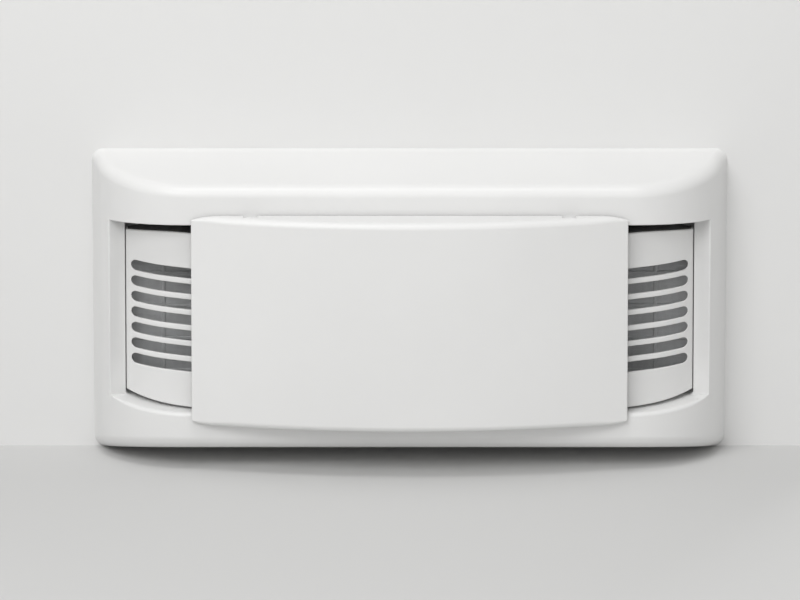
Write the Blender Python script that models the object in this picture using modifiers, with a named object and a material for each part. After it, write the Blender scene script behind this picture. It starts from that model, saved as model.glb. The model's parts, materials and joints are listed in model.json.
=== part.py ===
"""Low-profile window air conditioner, built as separate pieces in metres.

The front faces -Y, +X is the room user's right and +Z is up. The origin is at the bottom centre
of the whole unit. WALL_Y is the plane of the wall: the bezel stands forward of it and the
chassis lies behind it. Depths called d are measured forward from that plane.
"""

import math

import bmesh
import bpy
from mathutils import Matrix, Vector

# Whole unit
UNIT_DEPTH = 0.500
WALL_Y = -0.123
REAR_Y = UNIT_DEPTH / 2
GAP = 0.0003

# Bezel
BEZEL_HALF_WIDTH = 0.300
BEZEL_HEIGHT = 0.2914
MID_Z = BEZEL_HEIGHT / 2
BEZEL_DEPTH = 0.092
BEZEL_WALL = 0.003
FRONT_HALF_WIDTH = 0.2783
FRONT_TOP = 0.1320
FRONT_BOTTOM = -0.1216
CHEEK_OFFSET = 0.0696
RIM_OFFSET = 0.0109

# Opening in the bezel, heights from its middle
OPENING_HALF_WIDTH = 0.2695
OPENING_TOP = 0.0952
OPENING_BOTTOM = -0.0881
OPENING_FLAT = 0.209
OPENING_DROP = 1.05
COLLAR_BACK_D = 0.005
FLARE_D = 0.037
FLARE_SLOPE = 11 / 14.5

# Grille insert
INSERT_HALF_WIDTH = 0.2686
INSERT_TOP = 0.0842
INSERT_BOTTOM = -0.0857
INSERT_DROP = 1.9
INSERT_FLAT = 0.206
INSERT_FACE_D = 0.0802
INSERT_BACK_D = 0.030
INSERT_WALL = 0.0025
INSERT_ARC = 0.527
INSERT_CHEEK_ARC = 0.110
INSERT_CHEEK_X = 0.228
SLOTS = 7
SLOT_PITCH = 0.0152
SLOT_RADIUS = 0.005
SLOT_Z = -0.0007
SLOT_OUTER = 0.2634
SLOT_INNER = 0.200

# Front cover and its hinge
COVER_HALF_WIDTH = 0.2058
COVER_TOP = 0.1055
COVER_BOTTOM = -0.0985
COVER_FACE_D = 0.127
COVER_SAGITTA = 0.030
COVER_BACK_D = 0.095
COVER_CORNER = 0.030
COVER_CORNER_DROP = 0.0025
COVER_WALL = 0.003
COVER_EDGE = 0.0065
HINGE_D = 0.0992
HINGE_Z = 0.1008
HINGE_X = 0.150
PIN_RADIUS = 0.0015
PIN_HALF_LENGTH = 0.0115
BRACKET_HALF_WIDTH = 0.006

# Cabinet, pan and rails
SHEET = 0.0012
CABINET_HALF_WIDTH = 0.280
CABINET_TOP = 0.272
CABINET_BOTTOM = 0.0225
CABINET_FRONT_Y = WALL_Y - 0.007
CABINET_REAR_Y = 0.238
SEAL_INSET = 0.008
SASH_HALF_WIDTH = 0.235
SASH_FRONT_Y = -0.100
SASH_BACK_Y = -0.080
SASH_SHEET = 0.0016
PAN_HALF_WIDTH = CABINET_HALF_WIDTH - SHEET - GAP
PAN_BOTTOM = 0.020
PAN_RIM = 0.052
PAN_FLOOR = PAN_BOTTOM + SHEET
PAN_FRONT_Y = WALL_Y + 0.002
PAN_REAR_Y = 0.238
INLET_Y = -0.085
INLET_Z = 0.085
DRAIN = (0.15, 0.105)

# Air circuit: one motor drives the room blower and the outdoor fan
AXIS_X = 0.055
AXIS_Z = 0.140
SHAFT_RADIUS = 0.004
BORE_RADIUS = 0.0043
BULKHEAD_Y = 0.002
WHEEL_RADIUS = 0.070
WHEEL_FRONT_Y = -0.062
WHEEL_BACK_Y = -0.016
WHEEL_BLADES = 24
FAN_RADIUS = 0.103
FAN_HUB_RADIUS = 0.024
FAN_Y = 0.150
FAN_DEPTH = 0.026
FAN_BLADES = 5
SHROUD_Y = 0.186
DUCT_LOW = 0.228
DUCT_HIGH = 0.262
FLAP_D = 0.0165
FLAP_Z = 0.0885
MOTOR_FRONT_Y = 0.012
MOTOR_BACK_Y = 0.080
MOTOR_RADIUS = 0.043
EVAP_FRONT_Y = -0.111
EVAP_BACK_Y = -0.083
EVAP_LEFT_X = -0.225
EVAP_RIGHT_X = 0.215
EVAP_LOW = 0.042
EVAP_HIGH = 0.214

# Compressor and refrigerant circuit
COMPRESSOR = (-0.165, 0.078)
COMPRESSOR_RADIUS = 0.050
COMPRESSOR_HEIGHT = 0.150
COMPRESSOR_BASE_Z = PAN_FLOOR + 0.0125
ACCUMULATOR = (-0.238, 0.078)
CAPACITOR = (0.215, 0.065)

# Controls
KNOB_X = 0.045
KNOB_Z = MID_Z + 0.004
KNOB_RADIUS = 0.019
PANEL_FACE_D = 0.084
SWITCH_D = 0.074
VENT_X = -0.075
VENT_Z = 0.2215
VENT_AXIS_Z = 0.2130
VENT_AXIS_Y = 0.0065

# Air filters, which slide in behind the insert from its middle
FILTER_INNER = 0.200
FILTER_OUTER = 0.2665
FILTER_LOW = -0.066
FILTER_HIGH = 0.065
FILTER_D = 0.0255
FILTER_THICK = 0.004
FILTER_RIB = 0.003

FINISHES = {
    "white plastic": ((0.80, 0.80, 0.79), 0.42, 0.0),
    "pale plastic": ((0.62, 0.62, 0.61), 0.50, 0.0),
    "grey mesh": ((0.34, 0.35, 0.36), 0.80, 0.0),
    "black plastic": ((0.03, 0.03, 0.03), 0.50, 0.0),
    "white foam": ((0.85, 0.85, 0.84), 0.90, 0.0),
    "dark foam": ((0.06, 0.06, 0.06), 0.95, 0.0),
    "black rubber": ((0.02, 0.02, 0.02), 0.70, 0.0),
    "galvanised steel": ((0.55, 0.56, 0.57), 0.38, 0.9),
    "painted cabinet": ((0.66, 0.66, 0.64), 0.48, 0.0),
    "bright steel": ((0.70, 0.70, 0.70), 0.25, 1.0),
    "aluminium": ((0.78, 0.79, 0.80), 0.35, 1.0),
    "copper": ((0.80, 0.42, 0.26), 0.30, 1.0),
    "black enamel": ((0.02, 0.02, 0.022), 0.35, 0.0),
}


# ---------------------------------------------------------------- scene and objects

def clear_scene():
    for obj in list(bpy.data.objects):
        bpy.data.objects.remove(obj, do_unlink=True)


def new_collection(name):
    made = bpy.data.collections.new(name)
    bpy.context.scene.collection.children.link(made)
    return made


def paint(obj, finish):
    colour, roughness, metallic = FINISHES[finish]
    material = bpy.data.materials.new(obj.name + "_finish")
    material.use_nodes = True
    shader = material.node_tree.nodes["Principled BSDF"]
    shader.inputs["Base Color"].default_value = (*colour, 1.0)
    shader.inputs["Roughness"].default_value = roughness
    shader.inputs["Metallic"].default_value = metallic
    obj.data.materials.append(material)


def add(name, data, finish, location=(0, 0, 0)):
    """A part when it has a finish, or else a hidden cutter."""
    obj = bpy.data.objects.new(name, data)
    obj.location = location
    if finish:
        PARTS.objects.link(obj)
        paint(obj, finish)
    else:
        CUTTERS.objects.link(obj)
        obj.hide_render = True
        obj.display_type = "WIRE"
    return obj


def add_shape(name, shape, finish, location=(0, 0, 0)):
    mesh = bpy.data.meshes.new(name)
    shape.to_mesh(mesh)
    shape.free()
    return add(name, mesh, finish, location)


def combine(target, others, operation):
    for other in others:
        step = target.modifiers.new(operation.lower() + "_" + other.name, "BOOLEAN")
        step.operation = operation
        step.object = other
    return target


def cut(target, *cutters):
    return combine(target, cutters, "DIFFERENCE")


def join(target, *others):
    return combine(target, others, "UNION")


def joint_empty(name, location):
    empty = bpy.data.objects.new(name, None)
    empty.location = location
    PARTS.objects.link(empty)
    return empty


def hang(empty, *objects):
    """Parents objects to a joint's empty without moving them."""
    for obj in objects:
        obj.parent = empty
        obj.matrix_parent_inverse = Matrix.Translation(empty.location).inverted()


def face(x, d, z):
    """A point given by its depth forward of the wall and its height from the bezel's middle."""
    return Vector((x, WALL_Y - d, MID_Z + z))


# ---------------------------------------------------------------- basic shapes

def box(name, low, high, finish=None, edge=0.0):
    low, high = Vector(low), Vector(high)
    shape = bmesh.new()
    bmesh.ops.create_cube(shape, size=1)
    bmesh.ops.scale(shape, vec=high - low, verts=shape.verts)
    if edge:
        bmesh.ops.bevel(
            shape, geom=shape.edges[:], offset=edge, segments=1, profile=0.5, affect="EDGES"
        )
    return add_shape(name, shape, finish, (low + high) / 2)


def round_bar(name, start, end, radius, finish=None, sides=24, end_radius=None):
    """A cylinder or cone between two points."""
    start, end = Vector(start), Vector(end)
    shape = bmesh.new()
    bmesh.ops.create_cone(
        shape, cap_ends=True, segments=sides, radius1=radius,
        radius2=radius if end_radius is None else end_radius, depth=(end - start).length,
    )
    turn = (end - start).to_track_quat("Z", "Y").to_matrix()
    bmesh.ops.rotate(shape, matrix=turn, verts=shape.verts)
    return add_shape(name, shape, finish, (start + end) / 2)


def turned(name, profile, location, finish=None, steps=24, tilt=(0, 0, 0)):
    """A Screw of a profile of (radius, height) points that runs from top to bottom."""
    shape = bmesh.new()
    points = [shape.verts.new((radius, 0, height)) for radius, height in profile]
    for first, second in zip(points, points[1:]):
        shape.edges.new((first, second))
    obj = add_shape(name, shape, finish, location)
    obj.rotation_euler = tilt
    screw = obj.modifiers.new("turn", "SCREW")
    screw.steps = screw.render_steps = steps
    screw.use_merge_vertices = True
    screw.merge_threshold = 0.00001
    return obj


def tube(name, points, radius, finish, sides=2):
    """A round tube through points, with each corner rounded."""
    curve = bpy.data.curves.new(name, "CURVE")
    curve.dimensions = "3D"
    curve.bevel_depth = radius
    curve.bevel_resolution = sides
    curve.use_fill_caps = True
    path = rounded_path([Vector(point) for point in points], radius * 4)
    spline = curve.splines.new("POLY")
    spline.points.add(len(path) - 1)
    for point, place in zip(spline.points, path):
        point.co = (*place, 1)
    return add(name, curve, finish)


def rounded_path(points, radius, steps=3):
    """The points with every inner corner replaced by a short arc-like curve."""
    path = [points[0]]
    for before, corner, after in zip(points, points[1:], points[2:]):
        reach = min(radius, (before - corner).length / 2.2, (after - corner).length / 2.2)
        start = corner + (before - corner).normalized() * reach
        end = corner + (after - corner).normalized() * reach
        for step in range(steps + 1):
            t = step / steps
            path.append(start * (1 - t) ** 2 + corner * 2 * t * (1 - t) + end * t ** 2)
    return path + [points[-1]]


def many_boxes(name, pieces, finish=None):
    """Separate boxes in one mesh, each given by its lowest and highest corner."""
    shape = bmesh.new()
    for low, high in pieces:
        low, high = Vector(low), Vector(high)
        made = bmesh.ops.create_cube(shape, size=1)["verts"]
        bmesh.ops.scale(shape, vec=high - low, verts=made)
        bmesh.ops.translate(shape, vec=(low + high) / 2, verts=made)
    return add_shape(name, shape, finish)


# ---------------------------------------------------------------- bezel

def bezel_form(shape, inset=0.0):
    """The drafted outer form: rounded cheeks, then rounded top and bottom rims."""
    bmesh.ops.create_cube(shape, size=2)
    for vert in shape.verts:
        front = vert.co.y < 0
        top, bottom = (FRONT_TOP, FRONT_BOTTOM) if front else (MID_Z, -MID_Z)
        x = math.copysign((FRONT_HALF_WIDTH if front else BEZEL_HALF_WIDTH) - inset, vert.co.x)
        z = top - inset if vert.co.z > 0 else bottom + inset
        vert.co = face(x, BEZEL_DEPTH - inset if front else 0, z)
    front_y = WALL_Y - BEZEL_DEPTH / 2
    cheeks = [
        edge for edge in shape.edges
        if all(v.co.y < front_y for v in edge.verts) and edge.verts[0].co.x * edge.verts[1].co.x > 0
    ]
    bmesh.ops.bevel(shape, geom=cheeks, offset=CHEEK_OFFSET, segments=10, profile=0.5, affect="EDGES")
    shape.normal_update()
    rims = {
        edge for roof in shape.faces if abs(roof.normal.z) > 0.9 for edge in roof.edges
        if any(v.co.y < WALL_Y - 1e-5 for v in edge.verts)
    }
    bmesh.ops.bevel(shape, geom=list(rims), offset=RIM_OFFSET, segments=4, profile=0.5, affect="EDGES")


def opening_height(x, level, drop):
    """Height of the opening's rim, which closes in slightly over the cheeks."""
    return level - math.copysign(drop * max(0.0, abs(x) - OPENING_FLAT) ** 2, level)


def opening_prism(name, half_width, grow, back_d, front_d):
    """The opening's outline, grown by a wall, swept straight through the bezel."""
    shape = bmesh.new()
    columns = 24
    bmesh.ops.create_grid(shape, x_segments=columns, y_segments=1, size=1)
    for vert in shape.verts:
        x = vert.co.x * half_width
        upper = vert.co.y > 0
        level = opening_height(x, OPENING_TOP if upper else OPENING_BOTTOM, OPENING_DROP)
        vert.co = face(x, back_d, level + (grow if upper else -grow))
    swept = bmesh.ops.extrude_face_region(shape, geom=shape.faces[:], use_keep_orig=True)
    moved = [item for item in swept["geom"] if isinstance(item, bmesh.types.BMVert)]
    bmesh.ops.translate(shape, vec=(0, back_d - front_d, 0), verts=moved)
    bmesh.ops.recalc_face_normals(shape, faces=shape.faces[:])
    return add_shape(name, shape, None)


def flare_prism():
    """The part of the opening that widens over each cheek, forward of the insert's edge."""
    flare = opening_prism("flare_cutter", 0.32, 0.0, FLARE_D, 0.140)
    shape = bmesh.new()
    shape.from_mesh(flare.data)
    for side in (-1, 1):
        bmesh.ops.bisect_plane(
            shape, geom=shape.verts[:] + shape.edges[:] + shape.faces[:],
            plane_co=face(side * OPENING_HALF_WIDTH, FLARE_D, 0),
            plane_no=(side * FLARE_SLOPE, 1, 0), clear_outer=True,
        )
        bmesh.ops.holes_fill(shape, edges=[edge for edge in shape.edges if edge.is_boundary])
    bmesh.ops.recalc_face_normals(shape, faces=shape.faces[:])
    shape.to_mesh(flare.data)
    shape.free()
    return flare


def make_front_bezel():
    solid = bmesh.new()
    bezel_form(solid, BEZEL_WALL / 2)
    limit = add_shape("bezel_limit", solid, None)
    shape = bmesh.new()
    bezel_form(shape)
    wall = [f for f in shape.faces if all(abs(v.co.y - WALL_Y) < 1e-6 for v in f.verts)]
    bmesh.ops.delete(shape, geom=wall, context="FACES")
    bezel = add_shape("front_bezel", shape, "white plastic")
    shell = bezel.modifiers.new("wall", "SOLIDIFY")
    shell.thickness = BEZEL_WALL
    shell.offset = -1
    collar = opening_prism("bezel_collar", OPENING_HALF_WIDTH + 0.003, 0.003, COLLAR_BACK_D, 0.100)
    combine(collar, [limit], "INTERSECT")
    cheeks = many_boxes("bezel_cheek_blocks", [
        (
            face(side * 0.277 - 0.008, FLARE_D + 0.020, -0.084),
            face(side * 0.277 + 0.008, FLARE_D - 0.008, 0.090),
        )
        for side in (-1, 1)
    ])
    combine(cheeks, [limit], "INTERSECT")
    join(bezel, collar, cheeks)
    inner = opening_prism("opening_cutter", OPENING_HALF_WIDTH, 0.0, -0.010, 0.140)
    pivots = round_bar(
        "flap_pivot_cutter", face(-0.275, FLAP_D, FLAP_Z), face(0.275, FLAP_D, FLAP_Z), 0.0024, sides=12
    )
    return cut(bezel, inner, flare_prism(), pivots)


# ---------------------------------------------------------------- grille insert and cover

def insert_depth(x):
    """Depth of the insert's face: flat under the cover, then two arcs round the cheek."""
    x = abs(x)
    if x <= INSERT_FLAT:
        return INSERT_FACE_D
    arc_base = INSERT_FACE_D - math.sqrt(INSERT_ARC ** 2 - INSERT_FLAT ** 2)
    if x <= INSERT_CHEEK_X:
        return arc_base + math.sqrt(INSERT_ARC ** 2 - x ** 2)
    slope = INSERT_CHEEK_X / INSERT_ARC
    centre_x = INSERT_CHEEK_X - INSERT_CHEEK_ARC * slope
    join_d = arc_base + math.sqrt(INSERT_ARC ** 2 - INSERT_CHEEK_X ** 2)
    base = join_d - INSERT_CHEEK_ARC * math.sqrt(1 - slope ** 2)
    return base + math.sqrt(INSERT_CHEEK_ARC ** 2 - (x - centre_x) ** 2)


def insert_edge(x, upper):
    level = INSERT_TOP if upper else INSERT_BOTTOM
    return opening_height(x, level, INSERT_DROP)


def cover_depth(x):
    radius = (COVER_HALF_WIDTH ** 2 + COVER_SAGITTA ** 2) / (2 * COVER_SAGITTA)
    return COVER_FACE_D - radius + math.sqrt(radius ** 2 - x ** 2)


def cover_edge(x, upper):
    """The cover's outline, which eases in over its last stretch towards each end."""
    level = COVER_TOP if upper else COVER_BOTTOM
    ease = max(0.0, abs(x) - COVER_HALF_WIDTH + COVER_CORNER) / COVER_CORNER
    return level - math.copysign(COVER_CORNER_DROP * ease ** 2, level)


def tray(name, stations, depth_at, edge_at, back_d, wall, edge_radius, finish):
    """A curved face with returns round its edge that run back to one flat plane."""
    shape = bmesh.new()
    bmesh.ops.create_grid(shape, x_segments=len(stations) - 1, y_segments=1, size=1)
    for vert in shape.verts:
        x = stations[round((vert.co.x + 1) / 2 * (len(stations) - 1))]
        vert.co = face(x, depth_at(x), edge_at(x, vert.co.y > 0))
    rim = [edge for edge in shape.edges if edge.is_boundary]
    swept = bmesh.ops.extrude_edge_only(shape, edges=rim)["geom"]
    for item in swept:
        if isinstance(item, bmesh.types.BMVert):
            item.co.y = WALL_Y - back_d
    bmesh.ops.recalc_face_normals(shape, faces=shape.faces[:])
    front = [
        edge for edge in rim
        if edge.is_valid and abs(edge.verts[0].co.x - edge.verts[1].co.x) > 1e-4
    ]
    if edge_radius:
        bmesh.ops.bevel(shape, geom=front, offset=edge_radius, segments=3, profile=0.5, affect="EDGES")
    if sum(f.calc_area() * f.normal.y for f in shape.faces) > 0:
        bmesh.ops.reverse_faces(shape, faces=shape.faces[:])
    obj = add_shape(name, shape, finish)
    shell = obj.modifiers.new("wall", "SOLIDIFY")
    shell.thickness = wall
    shell.offset = -1
    return obj


def mirrored(stations):
    return [-x for x in reversed(stations)] + [0.0] + stations


def slot_cutter():
    """All the slots as one cutter: cylinders whose inner half is drawn out towards the middle."""
    shape = bmesh.new()
    sides = 12
    half_side = math.pi / sides
    along_y = Matrix.Rotation(math.pi / 2, 3, "X") @ Matrix.Rotation(half_side, 3, "Z")
    corner = SLOT_RADIUS / math.cos(half_side)
    straight = SLOT_OUTER - SLOT_INNER - 2 * SLOT_RADIUS
    for side in (-1, 1):
        for row in range(SLOTS):
            made = bmesh.ops.create_cone(
                shape, cap_ends=True, segments=sides, radius1=corner, radius2=corner, depth=0.07
            )["verts"]
            bmesh.ops.rotate(shape, matrix=along_y, verts=made)
            inner = [v for v in made if v.co.x * side < 1e-5]
            bmesh.ops.translate(shape, vec=(-side * straight, 0, 0), verts=inner)
            z = SLOT_Z + (row - (SLOTS - 1) / 2) * SLOT_PITCH
            bmesh.ops.translate(
                shape, vec=face(side * (SLOT_OUTER - SLOT_RADIUS), 0.060, z), verts=made
            )
    return add_shape("slot_cutter", shape, None)


def make_grille_insert():
    cheek = [0.206, 0.217, 0.228, 0.236, 0.244, 0.252, 0.260, INSERT_HALF_WIDTH]
    insert = tray(
        "grille_insert", mirrored([0.10] + cheek), insert_depth, insert_edge,
        INSERT_BACK_D, INSERT_WALL, 0.0015, "white plastic",
    )
    control = box("control_window", face(-0.085, 0.110, -0.048), face(0.085, 0.050, 0.050))
    windows = many_boxes("filter_windows", [
        (face(side * 0.1475 - 0.0425, 0.110, -0.070), face(side * 0.1475 + 0.0425, 0.050, 0.069))
        for side in (-1, 1)
    ])
    vent_z = VENT_Z - MID_Z
    vent = round_bar("vent_pull_bore", face(VENT_X, 0.090, vent_z), face(VENT_X, 0.070, vent_z), 0.003)
    return cut(insert, slot_cutter(), control, windows, vent)


def make_front_cover():
    steps = 8
    stations = [COVER_HALF_WIDTH * (1 - (1 - (i + 1) / steps) ** 1.5) for i in range(steps)]
    cover = tray(
        "front_cover", mirrored(stations), cover_depth, cover_edge,
        COVER_BACK_D, COVER_WALL, COVER_EDGE, "white plastic",
    )
    hinge = joint_empty("cover_hinge", face(0, HINGE_D, HINGE_Z))
    pins = [make_hinge_pin(side) for side in (-1, 1)]
    hang(hinge, cover, *pins)
    notches = many_boxes("hinge_notches", [
        (
            face(side * HINGE_X - BRACKET_HALF_WIDTH - 0.0015, HINGE_D + 0.0030, HINGE_Z - 0.012),
            face(side * HINGE_X + BRACKET_HALF_WIDTH + 0.0015, HINGE_D - 0.0100, HINGE_Z + 0.012),
        )
        for side in (-1, 1)
    ])
    ears = many_boxes("hinge_ears", [
        (
            face(side * HINGE_X + end * 0.0100 - 0.0015, HINGE_D + 0.0028, HINGE_Z - 0.0028),
            face(side * HINGE_X + end * 0.0100 + 0.0015, HINGE_D - 0.0028, HINGE_Z + 0.0030),
        )
        for side in (-1, 1) for end in (-1, 1)
    ])
    bores = [
        round_bar(
            "ear_bore_" + side_name(side), face(side * HINGE_X - 0.015, HINGE_D, HINGE_Z),
            face(side * HINGE_X + 0.015, HINGE_D, HINGE_Z), PIN_RADIUS + 0.0002, sides=12,
        )
        for side in (-1, 1)
    ]
    behind = box("cover_back_trim", face(-0.3, COVER_BACK_D + 0.0002, -0.2), face(0.3, 0.05, 0.2))
    cut(cover, behind, notches)
    join(cover, ears)
    cut(cover, *bores)


def side_name(side):
    return "left" if side < 0 else "right"


def make_hinge_pin(side):
    start = face(side * HINGE_X - PIN_HALF_LENGTH, HINGE_D, HINGE_Z)
    end = face(side * HINGE_X + PIN_HALF_LENGTH, HINGE_D, HINGE_Z)
    return round_bar("cover_hinge_pin_" + side_name(side), start, end, PIN_RADIUS, "bright steel", 12)


def make_hinge_bracket(side):
    """A small ear on the bezel's face, with a hole that the cover's pin turns in."""
    x = side * HINGE_X
    ear = box(
        "cover_hinge_bracket_" + side_name(side),
        face(x - BRACKET_HALF_WIDTH, HINGE_D + 0.0024, HINGE_Z - 0.009),
        face(x + BRACKET_HALF_WIDTH, BEZEL_DEPTH + GAP, HINGE_Z + 0.0012), "white plastic",
    )
    bore = round_bar(
        "hinge_bore_" + side_name(side), face(x - 0.010, HINGE_D, HINGE_Z),
        face(x + 0.010, HINGE_D, HINGE_Z), PIN_RADIUS + 0.0003, sides=12,
    )
    return cut(ear, bore)


def make_cover_catch():
    """A magnet block on the bezel's lower front edge that holds the cover shut."""
    return box(
        "cover_catch", face(-0.015, COVER_BACK_D + 0.006, OPENING_BOTTOM - 0.0064),
        face(0.015, BEZEL_DEPTH + GAP, OPENING_BOTTOM - 0.0012), "black plastic", 0.0008,
    )


# ---------------------------------------------------------------- filters and controls

def make_air_filter(side):
    """A framed mesh: pockets in both faces leave the thin mesh sheet between the ribs."""
    low_x, high_x = sorted((side * FILTER_INNER, side * FILTER_OUTER))
    name = "air_filter_" + side_name(side)
    frame = box(
        name, face(low_x, FILTER_D, FILTER_LOW), face(high_x, FILTER_D - FILTER_THICK, FILTER_HIGH),
        "grey mesh",
    )
    columns, rows = 2, 4
    width = (high_x - low_x - FILTER_RIB) / columns
    height = (FILTER_HIGH - FILTER_LOW - FILTER_RIB) / rows
    pockets = []
    for column in range(columns):
        for row in range(rows):
            x = low_x + FILTER_RIB + column * width
            z = FILTER_LOW + FILTER_RIB + row * height
            for near, far in ((0.001, -0.0015), (-0.0025, -0.005)):
                pockets.append((
                    face(x, FILTER_D + near, z),
                    face(x + width - FILTER_RIB, FILTER_D + far, z + height - FILTER_RIB),
                ))
    hang(joint_empty(name + "_slide", face(0, FILTER_D, 0)), frame)
    return cut(frame, many_boxes(name + "_pockets", pockets))


def make_control_panel():
    panel = box(
        "control_panel", face(-0.090, PANEL_FACE_D, -0.053), face(0.090, INSERT_FACE_D + GAP, 0.055),
        "pale plastic",
    )
    bores = [
        round_bar(f"knob_bore_{n}", face(x, 0.09, KNOB_Z - MID_Z), face(x, 0.07, KNOB_Z - MID_Z), 0.0036)
        for n, x in enumerate((-KNOB_X, KNOB_X))
    ]
    return cut(panel, *bores)


def make_knob(name, x):
    """A skirted knob with a raised grip bar and a stem that reaches its switch."""
    z = KNOB_Z - MID_Z
    body = round_bar(
        name, face(x, PANEL_FACE_D + 0.0005, z), face(x, PANEL_FACE_D + 0.007, z), KNOB_RADIUS,
        "white plastic", 24, KNOB_RADIUS - 0.001,
    )
    grip = box(
        name + "_grip", face(x - 0.0035, PANEL_FACE_D + 0.016, z - 0.0165),
        face(x + 0.0035, PANEL_FACE_D + 0.006, z + 0.0165),
    )
    stem = round_bar(
        name + "_stem", face(x, PANEL_FACE_D + 0.001, z), face(x, SWITCH_D + GAP, z), 0.003, sides=12
    )
    hang(joint_empty(name + "_axis", face(x, PANEL_FACE_D, z)), body)
    return join(body, grip, stem)


def make_switch(name, x, finish):
    z = KNOB_Z - MID_Z
    low, high = face(x - 0.019, SWITCH_D, z - 0.019), face(x + 0.019, SWITCH_D - 0.028, z + 0.019)
    return box(name, low, high, finish, 0.001)


def make_control_box():
    """The pocket behind the control panel that holds the switches, open to the front."""
    shell = box("control_box", face(-0.083, 0.0795, -0.046), face(0.083, 0.034, 0.048), "pale plastic")
    hollow = box("control_box_hollow", face(-0.081, 0.100, -0.044), face(0.081, 0.036, 0.046))
    exit_bore = round_bar(
        "capillary_exit", face(-KNOB_X, 0.060, 0.040), face(-KNOB_X, 0.060, 0.052), 0.0035, sides=12
    )
    return cut(shell, hollow, exit_bore)


def make_thermostat_sensor():
    bulb_z = MID_Z + 0.030
    bulb_y = EVAP_FRONT_Y - 0.0045
    round_bar("thermostat_bulb", (-0.100, bulb_y, bulb_z), (-0.160, bulb_y, bulb_z), 0.0035, "copper", 12)
    tube("thermostat_capillary", [
        face(-KNOB_X, 0.060, KNOB_Z - MID_Z + 0.0195), face(-KNOB_X, 0.060, 0.0745),
        (-KNOB_X, bulb_y, MID_Z + 0.0745), (-0.085, bulb_y, MID_Z + 0.050),
        (-0.085, bulb_y, bulb_z), (-0.0995, bulb_y, bulb_z),
    ], 0.001, "copper", 1)


def make_vent():
    """The fresh-air vent: a pull rod whose end turns a small door on the bulkhead."""
    knob_z = VENT_Z - MID_Z
    pull = round_bar(
        "vent_pull", face(VENT_X, 0.086, knob_z), (VENT_X, VENT_AXIS_Y - 0.0045, VENT_Z), 0.002,
        "white plastic", 12,
    )
    head = round_bar(
        "vent_pull_head", face(VENT_X, 0.0965, knob_z), face(VENT_X, 0.0845, knob_z), 0.0055, sides=16
    )
    hang(joint_empty("vent_slide", (VENT_X, VENT_AXIS_Y, VENT_Z)), join(pull, head))
    door = box(
        "vent_door", (VENT_X - 0.020, VENT_AXIS_Y - 0.0010, 0.165),
        (VENT_X + 0.020, VENT_AXIS_Y + 0.0010, 0.2125), "black plastic",
    )
    arm = box(
        "vent_door_arm", (VENT_X - 0.003, VENT_AXIS_Y - 0.0010, 0.2105),
        (VENT_X + 0.003, VENT_AXIS_Y + 0.0010, VENT_Z + 0.001),
    )
    hang(joint_empty("vent_door_hinge", (VENT_X, VENT_AXIS_Y, VENT_AXIS_Z)), join(door, arm))


def make_outlet_flap():
    """A long thin flap across the air outlet, on a rod that turns in the bezel's collar."""
    flap = box(
        "outlet_flap", face(-0.255, FLAP_D + 0.006, FLAP_Z - 0.0008),
        face(0.255, FLAP_D - 0.006, FLAP_Z + 0.0008), "black plastic",
    )
    rod = round_bar("flap_rod", face(-0.2715, FLAP_D, FLAP_Z), face(0.2715, FLAP_D, FLAP_Z), 0.0018, sides=12)
    hang(joint_empty("flap_axis", face(0, FLAP_D, FLAP_Z)), flap)
    return join(flap, rod)


# ---------------------------------------------------------------- room-side air path

def coil(name, low, high, bends, finish="aluminium"):
    """A finned block with end plates, and the return bends of its tube on the +X end."""
    low, high = Vector(low), Vector(high)
    plate, lip = 0.0015, 0.003
    block = box(name, low + Vector((plate, 0, 0)), high - Vector((plate, 0, 0)), finish)
    plates = []
    for n, x in enumerate((low.x, high.x - 2 * plate)):
        plates.append(box(
            f"{name}_plate_{n}", (x, low.y - lip, low.z - lip),
            (x + 2 * plate, high.y + lip, high.z + lip),
        ))
    shape = bmesh.new()
    step = (high.z - low.z) / (2 * bends)
    for n in range(bends):
        made = bmesh.ops.create_circle(shape, cap_ends=True, segments=8, radius=0.0038)["verts"]
        bmesh.ops.rotate(shape, matrix=Matrix.Rotation(math.pi / 2, 3, "Y"), verts=made)
        centre = Vector((high.x - 0.001, (low.y + high.y) / 2, low.z + (2 * n + 1) * step))
        bmesh.ops.translate(shape, vec=centre - Vector((0, 0, step / 2)), verts=made)
        disc = list({f for v in made for f in v.link_faces})
        bmesh.ops.spin(
            shape, geom=disc + made + list({e for v in made for e in v.link_edges}), cent=centre,
            axis=(0, 1, 0), dvec=(0, 0, 0), angle=-math.pi, steps=6, use_duplicate=False,
        )
    bmesh.ops.recalc_face_normals(shape, faces=shape.faces[:])
    return join(block, *plates, add_shape(name + "_bends", shape, None))


def make_evaporator():
    coil(
        "evaporator_coil", (EVAP_LEFT_X, EVAP_FRONT_Y, EVAP_LOW), (EVAP_RIGHT_X, EVAP_BACK_Y, EVAP_HIGH), 5
    )
    low = Vector((EVAP_LEFT_X - 0.006, EVAP_FRONT_Y - 0.0065, PAN_FLOOR + GAP))
    high = Vector((EVAP_RIGHT_X + 0.022, EVAP_BACK_Y + 0.0065, EVAP_LOW - 0.0035))
    wall = 0.003
    tray_box = box("drain_tray", low, high, "white foam")
    hollow = box("drain_tray_hollow", low + Vector((wall, wall, wall)), high + Vector((-wall, -wall, 0.01)))
    cut(tray_box, hollow)


def axle_bar(name, front_y, back_y, radius, finish=None, sides=24):
    """A cylinder on the fan axis."""
    return round_bar(name, (AXIS_X, front_y, AXIS_Z), (AXIS_X, back_y, AXIS_Z), radius, finish, sides)


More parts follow.
